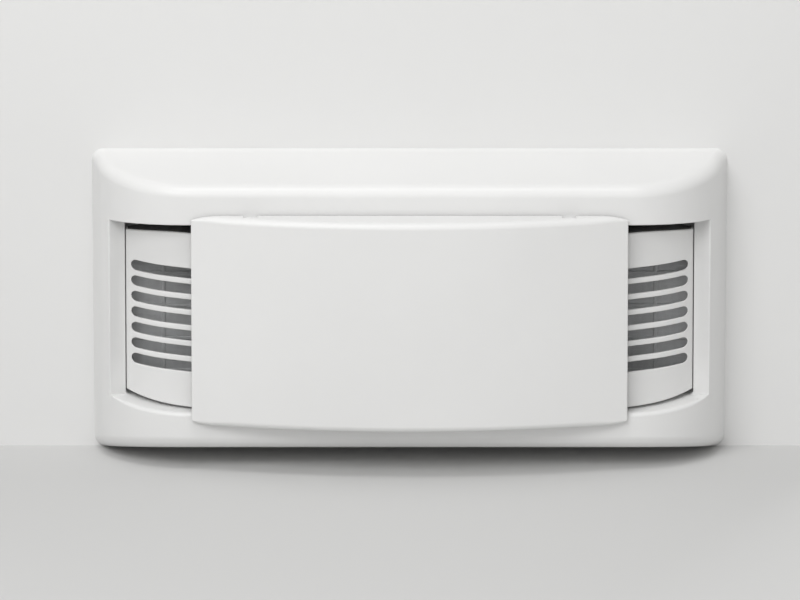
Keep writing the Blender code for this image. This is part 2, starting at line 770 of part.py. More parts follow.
def make_blower_wheel():
    """A forward-curved blower wheel: hub disc, blades and front ring in one moulding."""
    wheel = axle_bar("blower_wheel", WHEEL_BACK_Y - 0.003, WHEEL_BACK_Y, WHEEL_RADIUS, "black plastic")
    hub = axle_bar("wheel_hub", WHEEL_BACK_Y - 0.020, WHEEL_BACK_Y - 0.001, 0.012, sides=16)
    ring = axle_bar("wheel_ring", WHEEL_FRONT_Y, WHEEL_FRONT_Y + 0.004, WHEEL_RADIUS)
    ring_eye = axle_bar("wheel_eye", WHEEL_FRONT_Y - 0.01, WHEEL_FRONT_Y + 0.02, WHEEL_RADIUS - 0.010)
    cut(ring, ring_eye)
    blades = bmesh.new()
    for n in range(WHEEL_BLADES):
        made = bmesh.ops.create_cube(blades, size=1)["verts"]
        bmesh.ops.scale(blades, vec=(0.009, WHEEL_BACK_Y - WHEEL_FRONT_Y - 0.003, 0.0012), verts=made)
        bmesh.ops.rotate(blades, matrix=Matrix.Rotation(math.radians(35), 3, "Y"), verts=made)
        bmesh.ops.translate(blades, vec=(WHEEL_RADIUS - 0.005, 0, 0), verts=made)
        bmesh.ops.rotate(blades, matrix=Matrix.Rotation(math.tau * n / WHEEL_BLADES, 3, "Y"), verts=made)
    bmesh.ops.translate(blades, vec=(AXIS_X, (WHEEL_BACK_Y + WHEEL_FRONT_Y) / 2, AXIS_Z), verts=blades.verts)
    join(wheel, hub, add_shape("wheel_blades", blades, None), ring)
    return cut(wheel, axle_bar("wheel_bore", WHEEL_FRONT_Y, 0.0, BORE_RADIUS))


def make_blower_housing():
    """A round scroll with a rectangular throat that opens upwards into the duct."""
    front, back, wall, radius = -0.072, -0.006, 0.0025, 0.088
    throat_high = DUCT_LOW - GAP
    shell = axle_bar("blower_housing", front, back, radius, "white foam", 28)
    throat = box(
        "housing_throat", (AXIS_X - 0.080, front + GAP, AXIS_Z), (AXIS_X + 0.080, back - GAP, throat_high)
    )
    hollow = axle_bar("housing_hollow", front + wall, back - wall, radius - wall, sides=28)
    throat_hollow = box(
        "throat_hollow", (AXIS_X - 0.0775, front + wall + GAP, AXIS_Z + 0.001),
        (AXIS_X + 0.0775, back - wall - GAP, throat_high + 0.01),
    )
    inlet = axle_bar("housing_inlet", front - 0.01, front + 0.01, 0.056)
    join(shell, throat)
    return cut(shell, hollow, throat_hollow, inlet, axle_bar("housing_shaft_bore", -0.02, 0.01, 0.009))


def make_outlet_duct():
    """The foam duct that carries air forward over the coil to the slot above the insert."""
    low, high, wall = (-0.262, WALL_Y + 0.001, DUCT_LOW), (0.262, -0.004, DUCT_HIGH), 0.003
    duct = box("outlet_duct", low, high, "white foam")
    hollow = box(
        "duct_hollow", (low[0] + wall, low[1] - 0.01, low[2] + wall),
        (high[0] - wall, high[1] - wall, high[2] - wall),
    )
    mouth = box(
        "duct_inlet", (AXIS_X - 0.0775, -0.0695, DUCT_LOW - 0.01), (AXIS_X + 0.0775, -0.0085, DUCT_LOW + 0.01)
    )
    return cut(duct, hollow, mouth)


def make_bulkhead():
    """The sheet wall between room side and outdoor side, with its shaft, vent and tube openings."""
    wall = box(
        "bulkhead", (-PAN_HALF_WIDTH + 0.002, BULKHEAD_Y, PAN_FLOOR + GAP),
        (PAN_HALF_WIDTH - 0.002, BULKHEAD_Y + 0.002, CABINET_TOP - SHEET - 0.001), "galvanised steel",
    )
    openings = many_boxes("bulkhead_openings", [
        ((VENT_X - 0.016, -0.02, 0.170), (VENT_X + 0.016, 0.02, 0.205)),
        ((VENT_X - 0.005, -0.02, VENT_Z - 0.0095), (VENT_X + 0.005, 0.02, VENT_Z + 0.005)),
        ((-0.268, -0.02, 0.060), (-0.236, 0.02, 0.200)),
    ])
    return cut(wall, axle_bar("bulkhead_bore", -0.01, 0.02, 0.012), openings)


# ---------------------------------------------------------------- fan drive

def along_axis(profile_name, profile, finish=None, steps=24):
    """A turned piece on the fan axis; profile heights are distances towards the front."""
    return turned(profile_name, profile, (AXIS_X, 0, AXIS_Z), finish, steps, (math.pi / 2, 0, 0))


def make_fan_motor():
    r = MOTOR_RADIUS
    front, back = -MOTOR_FRONT_Y, -MOTOR_BACK_Y
    motor = along_axis("fan_motor", [
        (0, front + 0.004), (0.012, front + 0.004), (0.014, front), (r - 0.006, front),
        (r - 0.001, front - 0.004), (r - 0.001, front - 0.022), (r, front - 0.023),
        (r, back + 0.023), (r - 0.001, back + 0.022), (r - 0.001, back + 0.004), (r - 0.006, back),
        (0.014, back), (0.012, back - 0.002), (0, back - 0.002),
    ], "black enamel", 28)
    return cut(motor, axle_bar("motor_bore", -0.01, 0.10, BORE_RADIUS))


def make_motor_bracket():
    """A pressed upright that carries the motor from behind, with a foot on the pan."""
    front, back = MOTOR_BACK_Y + 0.0025, MOTOR_BACK_Y + 0.0045
    low = (AXIS_X - 0.048, front, PAN_FLOOR + GAP)
    upright = box("motor_bracket", low, (AXIS_X + 0.048, back, AXIS_Z + 0.040), "galvanised steel")
    foot = box("bracket_foot", low, (AXIS_X + 0.048, back + 0.024, PAN_FLOOR + 0.0023))
    join(upright, foot)
    return cut(upright, axle_bar("bracket_bore", 0.06, 0.10, 0.014))


def make_rotor():
    axis = joint_empty("rotor_axis", (AXIS_X, 0, AXIS_Z))
    shaft = axle_bar("motor_shaft", WHEEL_BACK_Y - 0.022, FAN_Y + 0.024, SHAFT_RADIUS, "bright steel", 20)
    hang(axis, shaft, make_blower_wheel(), make_condenser_fan())


def make_condenser_fan():
    """Five pitched blades between a hub and the slinger ring that throws water on the coil."""
    hub = axle_bar("condenser_fan", FAN_Y, FAN_Y + FAN_DEPTH, FAN_HUB_RADIUS, "black plastic")
    ring = axle_bar("slinger_ring", FAN_Y + 0.006, FAN_Y + 0.020, FAN_RADIUS, sides=28)
    hole = axle_bar("slinger_hole", FAN_Y - 0.01, FAN_Y + 0.04, FAN_RADIUS - 0.003, sides=28)
    cut(ring, hole)
    blades = bmesh.new()
    reach = FAN_RADIUS - 0.0015 - 0.020
    for n in range(FAN_BLADES):
        made = bmesh.ops.create_cube(blades, size=1)["verts"]
        bmesh.ops.scale(blades, vec=(reach, 0.0018, 0.056), verts=made)
        for vert in made:
            if vert.co.x < 0:
                vert.co.z *= 0.45
        bmesh.ops.rotate(blades, matrix=Matrix.Rotation(math.radians(24), 3, "X"), verts=made)
        bmesh.ops.translate(blades, vec=(0.020 + reach / 2, 0, 0), verts=made)
        bmesh.ops.rotate(blades, matrix=Matrix.Rotation(math.tau * n / FAN_BLADES, 3, "Y"), verts=made)
    bmesh.ops.translate(blades, vec=(AXIS_X, FAN_Y + FAN_DEPTH / 2, AXIS_Z), verts=blades.verts)
    join(hub, add_shape("fan_blades", blades, None), ring)
    return cut(hub, axle_bar("fan_bore", FAN_Y - 0.01, FAN_Y + 0.04, BORE_RADIUS))


def make_fan_shroud():
    """The plate round the outdoor fan, with a ring that the fan turns in."""
    low, high = (-0.256, SHROUD_Y, PAN_FLOOR + 0.004), (0.256, SHROUD_Y + 0.0025, 0.262)
    plate = box("fan_shroud", low, high, "black plastic")
    ring = axle_bar("shroud_ring", FAN_Y - 0.002, SHROUD_Y + 0.001, FAN_RADIUS + 0.0085, sides=28)
    hole = axle_bar("shroud_hole", FAN_Y - 0.010, SHROUD_Y + 0.014, FAN_RADIUS + 0.006, sides=28)
    join(plate, ring)
    return cut(plate, hole)


# ---------------------------------------------------------------- refrigerant circuit

def make_compressor():
    x, y = COMPRESSOR
    base, r, height = COMPRESSOR_BASE_Z, COMPRESSOR_RADIUS, COMPRESSOR_HEIGHT
    body = turned("compressor", [
        (0, base + height), (0.020, base + height - 0.001), (0.038, base + height - 0.008),
        (r - 0.002, base + height - 0.020), (r - 0.001, base + height - 0.034), (r, base + height - 0.036),
        (r, base + height - 0.042), (r - 0.001, base + height - 0.044), (r - 0.001, base + 0.026),
        (r - 0.004, base + 0.012), (0.030, base + 0.002), (0, base + 0.001),
    ], (x, y, 0), "black enamel", 28)
    plate = round_bar("compressor_plate", (x, y, base + GAP), (x, y, base + 0.003), 0.066, sides=3)
    corners = sorted((plate.matrix_basis @ v.co for v in plate.data.vertices), key=lambda co: co.z)[:3]
    feet = [plate]
    for n, corner in enumerate(corners):
        foot_x, foot_y = x + (corner.x - x) * 0.9, y + (corner.y - y) * 0.9
        feet.append(round_bar(
            f"compressor_lug_{n}", (foot_x, foot_y, base), (foot_x, foot_y, base + 0.0036), 0.011, sides=16
        ))
        make_grommet(n + 1, foot_x, foot_y)
    join(body, *feet)
    box(
        "terminal_cover", (x + 0.0545, y - 0.020, base + 0.060), (x + 0.0745, y + 0.020, base + 0.104),
        "black plastic", 0.002,
    )
    stub = box(
        "terminal_fence", (x + 0.040, y - 0.014, base + 0.066), (x + 0.0542, y + 0.014, base + 0.098)
    )
    join(body, stub)


def make_grommet(number, x, y):
    """A waisted rubber foot that the compressor stands on."""
    low, high = PAN_FLOOR + GAP, COMPRESSOR_BASE_Z - GAP
    middle = (low + high) / 2
    turned(f"compressor_grommet_{number}", [
        (0, high), (0.010, high), (0.010, middle + 0.0025), (0.008, middle), (0.010, middle - 0.0025),
        (0.010, low), (0, low),
    ], (x, y, 0), "black rubber", 16)


def make_accumulator():
    x, y = ACCUMULATOR
    turned("accumulator", [
        (0, 0.158), (0.006, 0.157), (0.016, 0.150), (0.0185, 0.140), (0.0185, 0.075), (0.016, 0.064),
        (0.006, 0.058), (0, 0.057),
    ], (x, y, 0), "black enamel", 20)


def make_tubes():
    """Suction, discharge, liquid and expansion tubes, all clear of the moving fan and wheel."""
    ax, ay = ACCUMULATOR
    cx, cy = COMPRESSOR
    pass_x, pass_y = -0.252, -0.060
    tube("suction_tube", [
        (ax, ay, 0.1585), (ax, ay, 0.185), (pass_x, 0.030, 0.185), (pass_x, pass_y, 0.185),
        (pass_x, -0.097, 0.185), (EVAP_LEFT_X - 0.0004, -0.097, 0.185),
    ], 0.0045, "copper")
    tube("accumulator_outlet_tube", [
        (ax, ay, 0.0565), (ax, ay, 0.0475), (cx - COMPRESSOR_RADIUS + 0.0010, cy, 0.0475),
    ], 0.0035, "copper")
    top = COMPRESSOR_BASE_Z + COMPRESSOR_HEIGHT + 0.0005
    tube("discharge_tube", [
        (cx, cy, top), (cx, cy, 0.215), (-0.262, 0.110, 0.215), (-0.262, 0.210, 0.215),
        (-0.2555, 0.210, 0.215),
    ], 0.0035, "copper")
    tube("liquid_tube", [
        (-0.2555, 0.210, 0.060), (-0.263, 0.210, 0.060), (-0.263, 0.160, 0.060),
        (-0.250, 0.152, 0.075), (-0.250, 0.152, 0.0952),
    ], 0.003, "copper")
    round_bar("filter_drier", (-0.250, 0.152, 0.0955), (-0.250, 0.152, 0.165), 0.0095, "copper", 16)
    tube("expansion_tube", [
        (-0.250, 0.152, 0.1655), (-0.250, 0.152, 0.178), (-0.266, 0.120, 0.178), (-0.266, 0.020, 0.150),
        (-0.262, -0.060, 0.120), (-0.250, -0.097, 0.080), (EVAP_LEFT_X - 0.0004, -0.097, 0.080),
    ], 0.0015, "copper", 1)


def make_condenser():
    coil("condenser_coil", (-0.255, 0.196, PAN_FLOOR + 0.006), (0.250, 0.224, 0.254), 6)


# ---------------------------------------------------------------- chassis and casing

def make_base_pan():
    low = (-PAN_HALF_WIDTH, PAN_FRONT_Y, PAN_BOTTOM)
    high = (PAN_HALF_WIDTH, PAN_REAR_Y, PAN_RIM)
    pan = box("base_pan", low, high, "galvanised steel")
    hollow = box(
        "pan_hollow", Vector(low) + Vector((SHEET,) * 3), Vector(high) + Vector((-SHEET, -SHEET, 0.01))
    )
    drain = round_bar("drain_hole", (*DRAIN, 0), (*DRAIN, 0.03), 0.0065, sides=16)
    return cut(pan, hollow, drain)


def make_drain_plug():
    turned("drain_plug", [
        (0, PAN_FLOOR + 0.003), (0.0060, PAN_FLOOR + 0.003), (0.0060, PAN_BOTTOM - GAP),
        (0.010, PAN_BOTTOM - GAP), (0.010, PAN_BOTTOM - 0.003), (0, PAN_BOTTOM - 0.003),
    ], (*DRAIN, 0), "black rubber", 16)


def make_base_rail(side):
    """A folded channel, flat side down, that the chassis stands on."""
    x = side * 0.205
    rail = box(
        "base_rail_" + side_name(side), (x - 0.016, -0.105, 0), (x + 0.016, 0.225, PAN_BOTTOM - GAP),
        "galvanised steel",
    )
    hollow = box(
        "rail_hollow_" + side_name(side), (x - 0.014, -0.12, 0.002), (x + 0.014, 0.24, PAN_BOTTOM + 0.01)
    )
    return cut(rail, hollow)


def make_cabinet():
    """A folded wrap of top and sides, with louvre slots over the outdoor half."""
    w = CABINET_HALF_WIDTH
    low, high = (-w, CABINET_FRONT_Y, CABINET_BOTTOM), (w, CABINET_REAR_Y, CABINET_TOP)
    shell = box("cabinet_shell", low, high, "painted cabinet")
    hollow = box("cabinet_hollow", (-w + SHEET, -0.2, 0), (w - SHEET, 0.3, CABINET_TOP - SHEET))
    slots = []
    for side in (-1, 1):
        low_x, high_x = sorted((side * (w - 0.01), side * (w + 0.01)))
        for row in range(7):
            z = 0.100 + row * 0.020
            slots.append(((low_x, 0.035, z), (high_x, 0.115, z + 0.007)))
            slots.append(((low_x, 0.125, z), (high_x, 0.180, z + 0.007)))
    for row in range(5):
        y = 0.060 + row * 0.022
        for low_x in (-0.210, -0.065, 0.080):
            slots.append(((low_x, y, CABINET_TOP - 0.01), (low_x + 0.130, y + 0.008, CABINET_TOP + 0.01)))
    inlet = round_bar(
        "inlet_bore", (w - 0.01, INLET_Y, INLET_Z), (w + 0.01, INLET_Y, INLET_Z), 0.0085, sides=20
    )
    return cut(shell, hollow, many_boxes("louvre_cutters", slots), inlet)


def make_cord_inlet():
    """The flanged bush in the cabinet's side where a supply lead would enter."""
    return turned("cord_inlet_bush", [
        (0.0052, 0.006), (0.0115, 0.006), (0.0130, 0.004), (0.0130, GAP), (0.0080, GAP), (0.0080, -0.008),
        (0.0052, -0.008), (0.0052, 0.006),
    ], (CABINET_HALF_WIDTH, INLET_Y, INLET_Z), "black rubber", 20, (0, math.pi / 2, 0))


def make_rear_grille():
    """A moulded guard over the outdoor coil: a frame with rows of slots."""
    low, high = (-0.2785, PAN_REAR_Y + 0.0015, 0.026), (0.2785, REAR_Y, 0.268)
    grille = box("rear_grille", low, high, "painted cabinet", 0.0012)
    hollow = box("grille_hollow", (-0.2745, 0.22, 0.030), (0.2745, REAR_Y - 0.0035, 0.264))
    rows, columns, pitch = 11, 3, 0.0192
    width = 0.520 / columns
    slots = []
    for row in range(rows):
        for column in range(columns):
            x, z = -0.260 + column * width, 0.041 + row * pitch
            slots.append(((x + 0.003, 0.2, z), (x + width - 0.003, 0.3, z + 0.0125)))
    return cut(grille, hollow, many_boxes("guard_slots", slots))


def make_capacitor():
    x, y = CAPACITOR
    turned("run_capacitor", [
        (0, 0.112), (0.019, 0.112), (0.020, 0.110), (0.020, PAN_FLOOR + 0.002), (0.018, PAN_FLOOR + GAP),
        (0, PAN_FLOOR + GAP),
    ], (x, y, 0), "aluminium", 20)
    strap = round_bar("capacitor_strap", (x, y, 0.060), (x, y, 0.070), 0.0215, "galvanised steel", 20)
    ear = box("strap_ear", (x + 0.010, y - 0.005, 0.060), (x + 0.040, y + 0.005, 0.070))
    hole = round_bar("strap_hole", (x, y, 0.05), (x, y, 0.08), 0.0204, sides=20)
    cut(join(strap, ear), hole)


def make_wall_seal():
    """A foam frame behind the bezel's rim that seals it against the wall."""
    x = BEZEL_HALF_WIDTH - SEAL_INSET
    low, high = (-x, WALL_Y + GAP, SEAL_INSET), (x, WALL_Y + 0.004, BEZEL_HEIGHT - SEAL_INSET)
    seal = box("wall_seal", low, high, "dark foam")
    hole = box("seal_hole", (-0.283, -0.2, 0.0190), (0.283, 0.0, BEZEL_HEIGHT - 0.0175))
    return cut(seal, hole)


def make_mounting_angle():
    """The angle on the cabinet's top that stands against a window sash."""
    low_z, w = CABINET_TOP + GAP, SASH_HALF_WIDTH
    low, high = (-w, SASH_FRONT_Y, low_z), (w, SASH_BACK_Y, low_z + SASH_SHEET)
    angle = box("sash_angle", low, high, "galvanised steel")
    upright = box(
        "sash_upright", (-w, SASH_BACK_Y - SASH_SHEET, low_z), (w, SASH_BACK_Y, BEZEL_HEIGHT - 0.0015)
    )
    join(angle, upright)
    holes = [
        round_bar(f"sash_hole_{n}", (x, -0.12, 0.283), (x, -0.06, 0.283), 0.0025, sides=12)
        for n, x in enumerate((-0.2, 0.2))
    ]
    return cut(angle, *holes)


def make_cabinet_screws():
    """Pan-head screws that hold the cabinet to the pan's rim, two on each side."""
    for n, (side, y) in enumerate(((-1, -0.060), (-1, 0.200), (1, -0.060), (1, 0.200))):
        x = side * (CABINET_HALF_WIDTH + GAP)
        turned(f"cabinet_screw_{n + 1}", [
            (0, 0.0026), (0.002, 0.0025), (0.0038, 0.0014), (0.0042, 0), (0, 0),
        ], (x, y, 0.040), "bright steel", 12, (0, side * math.pi / 2, 0))


def make_room_side():
    make_front_bezel()
    make_grille_insert()
    make_front_cover()
    for side in (-1, 1):
        make_hinge_bracket(side)
        make_air_filter(side)
    make_cover_catch()
    make_control_panel()
    make_knob("thermostat_knob", -KNOB_X)
    make_knob("mode_knob", KNOB_X)
    make_switch("thermostat_body", -KNOB_X, "pale plastic")
    make_switch("selector_switch", KNOB_X, "black plastic")
    make_control_box()
    make_thermostat_sensor()
    make_vent()
    make_outlet_flap()


def make_chassis():
    make_evaporator()
    make_blower_housing()
    make_outlet_duct()
    make_bulkhead()
    make_fan_motor()
    make_motor_bracket()
    make_rotor()
    make_fan_shroud()
    make_condenser()
    make_compressor()
    make_accumulator()
    make_tubes()
    make_base_pan()
    make_drain_plug()
    for side in (-1, 1):
        make_base_rail(side)
    make_cabinet()
    make_cord_inlet()
    make_rear_grille()
    make_capacitor()
    make_wall_seal()
    make_mounting_angle()
    make_cabinet_screws()


clear_scene()
PARTS = new_collection("window_air_conditioner")
CUTTERS = new_collection("cutters")
make_room_side()
make_chassis()
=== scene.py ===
"""Window air conditioner: the finished look of every piece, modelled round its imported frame.

Lengths are metres. The front faces -Y, +X is the room user's right and +Z is up. WALL_Y is the
wall's plane and MID_Z the middle of the bezel's height; a depth called d is measured forward
from the wall, and a height called z is measured from the bezel's middle.
"""

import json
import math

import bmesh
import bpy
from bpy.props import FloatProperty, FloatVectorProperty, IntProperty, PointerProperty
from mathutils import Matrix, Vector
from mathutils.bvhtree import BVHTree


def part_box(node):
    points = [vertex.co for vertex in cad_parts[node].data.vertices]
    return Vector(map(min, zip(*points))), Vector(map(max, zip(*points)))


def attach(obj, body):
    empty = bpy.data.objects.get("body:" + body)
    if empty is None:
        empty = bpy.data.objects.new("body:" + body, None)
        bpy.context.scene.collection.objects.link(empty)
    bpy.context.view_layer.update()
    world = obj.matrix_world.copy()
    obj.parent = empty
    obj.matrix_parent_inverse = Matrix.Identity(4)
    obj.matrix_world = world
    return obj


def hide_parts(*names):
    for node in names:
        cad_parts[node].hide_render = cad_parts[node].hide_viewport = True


bl_info = {
    "name": "Window Air Conditioner",
    "version": (1, 0, 0),
    "blender": (4, 5, 0),
    "location": "View3D > Sidebar > Air Conditioner",
    "description": "Models a low-profile window air conditioner round its packed frame",
    "category": "Object",
}

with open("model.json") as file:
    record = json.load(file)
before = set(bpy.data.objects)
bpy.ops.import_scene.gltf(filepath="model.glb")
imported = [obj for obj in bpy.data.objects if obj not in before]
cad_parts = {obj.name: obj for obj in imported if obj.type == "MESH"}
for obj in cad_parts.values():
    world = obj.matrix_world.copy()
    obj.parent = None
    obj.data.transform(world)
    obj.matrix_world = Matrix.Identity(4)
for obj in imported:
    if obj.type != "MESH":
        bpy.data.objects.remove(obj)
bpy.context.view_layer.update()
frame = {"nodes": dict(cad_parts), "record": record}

SEAL_GAP = 0.0003
BEZEL_LOW, BEZEL_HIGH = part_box("front_bezel")
WALL_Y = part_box("wall_seal")[0].y - SEAL_GAP
MID_Z = BEZEL_HIGH.z / 2
BODY_OF = {
    node: body for body, nodes in frame["record"]["behaviour"]["bodies"].items() for node in nodes
}
SLOT_OF = {part["node"]: part["material_slot"] for part in frame["record"]["subparts"]}


def face(x, d, z):
    """The point at x, a depth d forward of the wall and a height z above the bezel's middle."""
    return Vector((x, WALL_Y - d, MID_Z + z))


def depth_of(y):
    return WALL_Y - y


def middle_of(node):
    low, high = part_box(node)
    return (low + high) / 2


INSERT_LOW, INSERT_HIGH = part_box("grille_insert")
COVER_LOW, COVER_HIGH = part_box("front_cover")
FAN_LOW, FAN_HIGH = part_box("condenser_fan")
AXIS_X = (FAN_LOW.x + FAN_HIGH.x) / 2
AXIS_Z = (FAN_LOW.z + FAN_HIGH.z) / 2

# The opening is a little wider than the insert. From FLARE_D forward it widens over each cheek,
# FLARE_AHEAD forward for every FLARE_ACROSS outward.
OPENING_HALF = INSERT_HIGH.x + 0.0009
FLARE_D = 0.037
FLARE_AHEAD, FLARE_ACROSS = 11, 14.5
FLARE_CORNER = 0.0075

# How fast the long edges close in beyond their flat part, per metre.
OPENING_DROP = 1.05
INSERT_DROP = 1.9

# Turns that carry a profile's own Z axis onto another axis.
SPIN_TURNS = {
    "Z": (0, "X"), "-Y": (math.pi / 2, "X"), "X": (math.pi / 2, "Y"), "-X": (-math.pi / 2, "Y")
}


# ---------------------------------------------------------------- sizes and colours

def length(name, description, default):
    return FloatProperty(name=name, description=description, default=default, unit="LENGTH", precision=4)


def colour(name, description, default):
    return FloatVectorProperty(
        name=name, description=description, default=default, subtype="COLOR", size=3, min=0, max=1
    )


class CasingSizes(bpy.types.PropertyGroup):
    front_half_width: length("Front half width", "Half width of the bezel's front plane", 0.2783)
    front_top: length("Front top", "Top of the bezel's front plane above its middle", 0.1320)
    front_bottom: length("Front bottom", "Bottom of the front plane below the middle", -0.1216)
    cheek_reach: length("Cheek reach", "How far each cheek's rounding reaches from its corner", 0.0696)
    rim_reach: length("Rim reach", "How far the rounding of roof and sill reaches", 0.0109)
    wall_thickness: length("Bezel wall", "Thickness of the bezel's moulding", 0.003)
    cove: length("Wall cove", "How far the bezel's rear edge turns out against the wall", 0.0012)
    opening_top: length("Opening top", "Top of the opening in the bezel above its middle", 0.0952)
    opening_bottom: length("Opening bottom", "Bottom of the opening below the middle", -0.0881)
    opening_flat: length("Opening flat", "Half width over which the opening keeps its height", 0.209)
    lip_radius: length("Lip radius", "Rounding of the opening's lower lip", 0.0038)
    rim_radius: length("Rim radius", "Rounding of the opening's other edges", 0.0012)
    insert_top: length("Insert top", "Top of the grille insert above the middle", 0.0842)
    insert_bottom: length("Insert bottom", "Bottom of the grille insert below the middle", -0.0857)
    insert_flat: length("Insert flat", "Half width over which the insert's face is flat", 0.206)
    slot_pitch: length("Slot pitch", "Distance between intake slots", 0.0152)
    slot_middle: length("Slot middle", "Height of the middle slot above the bezel's middle", -0.0007)
    slot_radius: length("Slot radius", "Radius of a slot's round ends", 0.005)
    slot_outer: length("Slot outer end", "Outer end of the slots from the middle", 0.2634)
    slot_lip: length("Slot lip", "Rounding of each slot's edge", 0.0011)
    cover_edge: length("Cover edge", "Rounding along the cover's top and bottom", 0.0065)
    cover_sagitta: length("Cover crown", "How far the cover's middle stands ahead of its ends", 0.030)
    slot_rows: IntProperty(name="Slot rows", description="Intake slots on each side", default=7, min=1)


class InsideSizes(bpy.types.PropertyGroup):
    fin_pitch: length("Fin pitch", "Distance between the fins of both heat exchangers", 0.0018)
    fin_sheet: length("Fin sheet", "Thickness of one fin", 0.00022)
    tube_radius: length("Tube radius", "Radius of the heat exchangers' tubes", 0.0038)
    hood_height: length("Louvre height", "How far each cabinet louvre stands out", 0.0026)
    wheel_blades: IntProperty(name="Wheel blades", description="Blades on the room blower", default=38)
    fan_blades: IntProperty(name="Fan blades", description="Blades on the outdoor fan", default=5)


class FinishColours(bpy.types.PropertyGroup):
    bezel: colour("Bezel", "White moulding plastic of the room side", (0.80, 0.80, 0.795))
    panel: colour("Panel", "Pale plastic of the control panel", (0.62, 0.62, 0.61))
    filter: colour("Filter", "Grey mesh of the air filters", (0.66, 0.67, 0.68))
    cabinet: colour("Cabinet", "Paint of the cabinet and rear guard", (0.62, 0.62, 0.60))
    dark: colour("Dark plastic", "Black mouldings", (0.028, 0.028, 0.030))
    floor: colour("Floor", "Plain floor", (0.62, 0.62, 0.615))
    backdrop: colour("Backdrop", "Plain backdrop", (0.78, 0.78, 0.775))


# ---------------------------------------------------------------- shader node groups

def new_group(name, inputs, outputs):
    """An empty node group; inputs are (name, kind, default) and outputs are (name, kind)."""
    group = bpy.data.node_groups.new(name, "ShaderNodeTree")
    for label, kind, default in inputs:
        socket = group.interface.new_socket(name=label, in_out="INPUT", socket_type="NodeSocket" + kind)
        socket.default_value = default
    for label, kind in outputs:
        group.interface.new_socket(name=label, in_out="OUTPUT", socket_type="NodeSocket" + kind)
    return group, Wiring(group)


class Wiring:
    """Adds nodes to a tree and links them by name."""

    def __init__(self, tree):
        self.tree = tree

    def node(self, kind, inputs=None, **settings):
        made = self.tree.nodes.new("ShaderNode" + kind if not kind.startswith("NodeGroup") else kind)
        for key, value in settings.items():
            setattr(made, key, value)
        for key, value in (inputs or {}).items():
            if isinstance(value, bpy.types.NodeSocket):
                self.tree.links.new(value, made.inputs[key])
            else:
                made.inputs[key].default_value = value
        return made

    def math(self, operation, first, second=0.0):
        return self.node("Math", {0: first, 1: second}, operation=operation).outputs[0]

    def remap(self, value, low, high, to_low=0.0, to_high=1.0):
        inputs = {
            "Value": value, "From Min": low, "From Max": high, "To Min": to_low, "To Max": to_high
        }
        return self.node("MapRange", inputs).outputs["Result"]

    def noise(self, vector, scale, detail=2.0):
        return self.node("TexNoise", {"Vector": vector, "Scale": scale, "Detail": detail}).outputs["Fac"]

    def place(self, scale=(1, 1, 1)):
        """Object coordinates, stretched by scale."""
        source = self.node("TexCoord").outputs["Object"]
        return self.node("Mapping", {"Vector": source, "Scale": scale}).outputs["Vector"]

    def mix(self, factor, first, second):
        """Mixes two colours; a Mix node keeps its colours in sockets 6 and 7."""
        made = self.node("Mix", {"Factor": factor}, data_type="RGBA")
        for socket, value in ((made.inputs[6], first), (made.inputs[7], second)):
            if isinstance(value, bpy.types.NodeSocket):
                self.tree.links.new(value, socket)
            else:
                socket.default_value = value
        return made.outputs[2]


def ends(wiring):
    return wiring.node("NodeGroupInput"), wiring.node("NodeGroupOutput")


def make_grain_group():
    """Fine moulded or painted grain: a height, and a slow mask that varies tone and gloss."""
    group, w = new_group(
        "moulding_grain", [("Grain", "Float", 2200.0), ("Patch", "Float", 9.0)],
        [("Height", "Float"), ("Mask", "Float")],
    )
    source, result = ends(w)
    where = w.place()
    fine = w.noise(where, source.outputs["Grain"], 2.0)
    patch = w.noise(where, source.outputs["Patch"], 4.0)
    w.tree.links.new(fine, result.inputs["Height"])
    w.tree.links.new(w.remap(patch, 0.3, 0.7), result.inputs["Mask"])
    return group


def make_dust_group():
    """Settled dust: strongest on faces that look up, broken up by noise."""
    group, w = new_group(
        "settled_dust", [("Scale", "Float", 60.0), ("Amount", "Float", 0.3)], [("Mask", "Float")]
    )
    source, result = ends(w)
    normal = w.node("NewGeometry").outputs["Normal"]
    up = w.node("SeparateXYZ", {"Vector": normal}).outputs["Z"]
    level = w.remap(up, 0.35, 0.95)
    broken = w.remap(w.noise(w.place(), source.outputs["Scale"], 5.0), 0.35, 0.70)
    dust = w.math("MULTIPLY", w.math("MULTIPLY", level, broken), source.outputs["Amount"])
    w.tree.links.new(dust, result.inputs["Mask"])
    return group


def make_scuff_group():
    """Light scuffs and handling marks: thin stretched noise, gated by a slow patch."""
    group, w = new_group(
        "handling_scuffs", [("Scale", "Float", 40.0), ("Amount", "Float", 0.2)], [("Mask", "Float")]
    )
    source, result = ends(w)
    lines = w.noise(w.place((0.15, 1.0, 3.0)), source.outputs["Scale"], 6.0)
    patch = w.noise(w.place(), 7.0, 1.0)
    marks = w.math("MULTIPLY", w.remap(lines, 0.58, 0.66), w.remap(patch, 0.5, 0.75))
    w.tree.links.new(w.math("MULTIPLY", marks, source.outputs["Amount"]), result.inputs["Mask"])
    return group


GROUP_MAKERS = {
    "moulding_grain": make_grain_group,
    "settled_dust": make_dust_group,
    "handling_scuffs": make_scuff_group,
}


def group_node(wiring, name, **inputs):
    group = bpy.data.node_groups.get(name) or GROUP_MAKERS[name]()
    return wiring.node("Group", inputs, node_tree=group)


# ---------------------------------------------------------------- materials

def start_material(name, roughness, metallic=0.0):
    """A material with its Principled shader and the wiring of its tree."""
    material = bpy.data.materials.new(name)
    material.use_nodes = True
    shader = material.node_tree.nodes["Principled BSDF"]
    shader.inputs["Roughness"].default_value = roughness
    shader.inputs["Metallic"].default_value = metallic
    return material, shader, Wiring(material.node_tree)


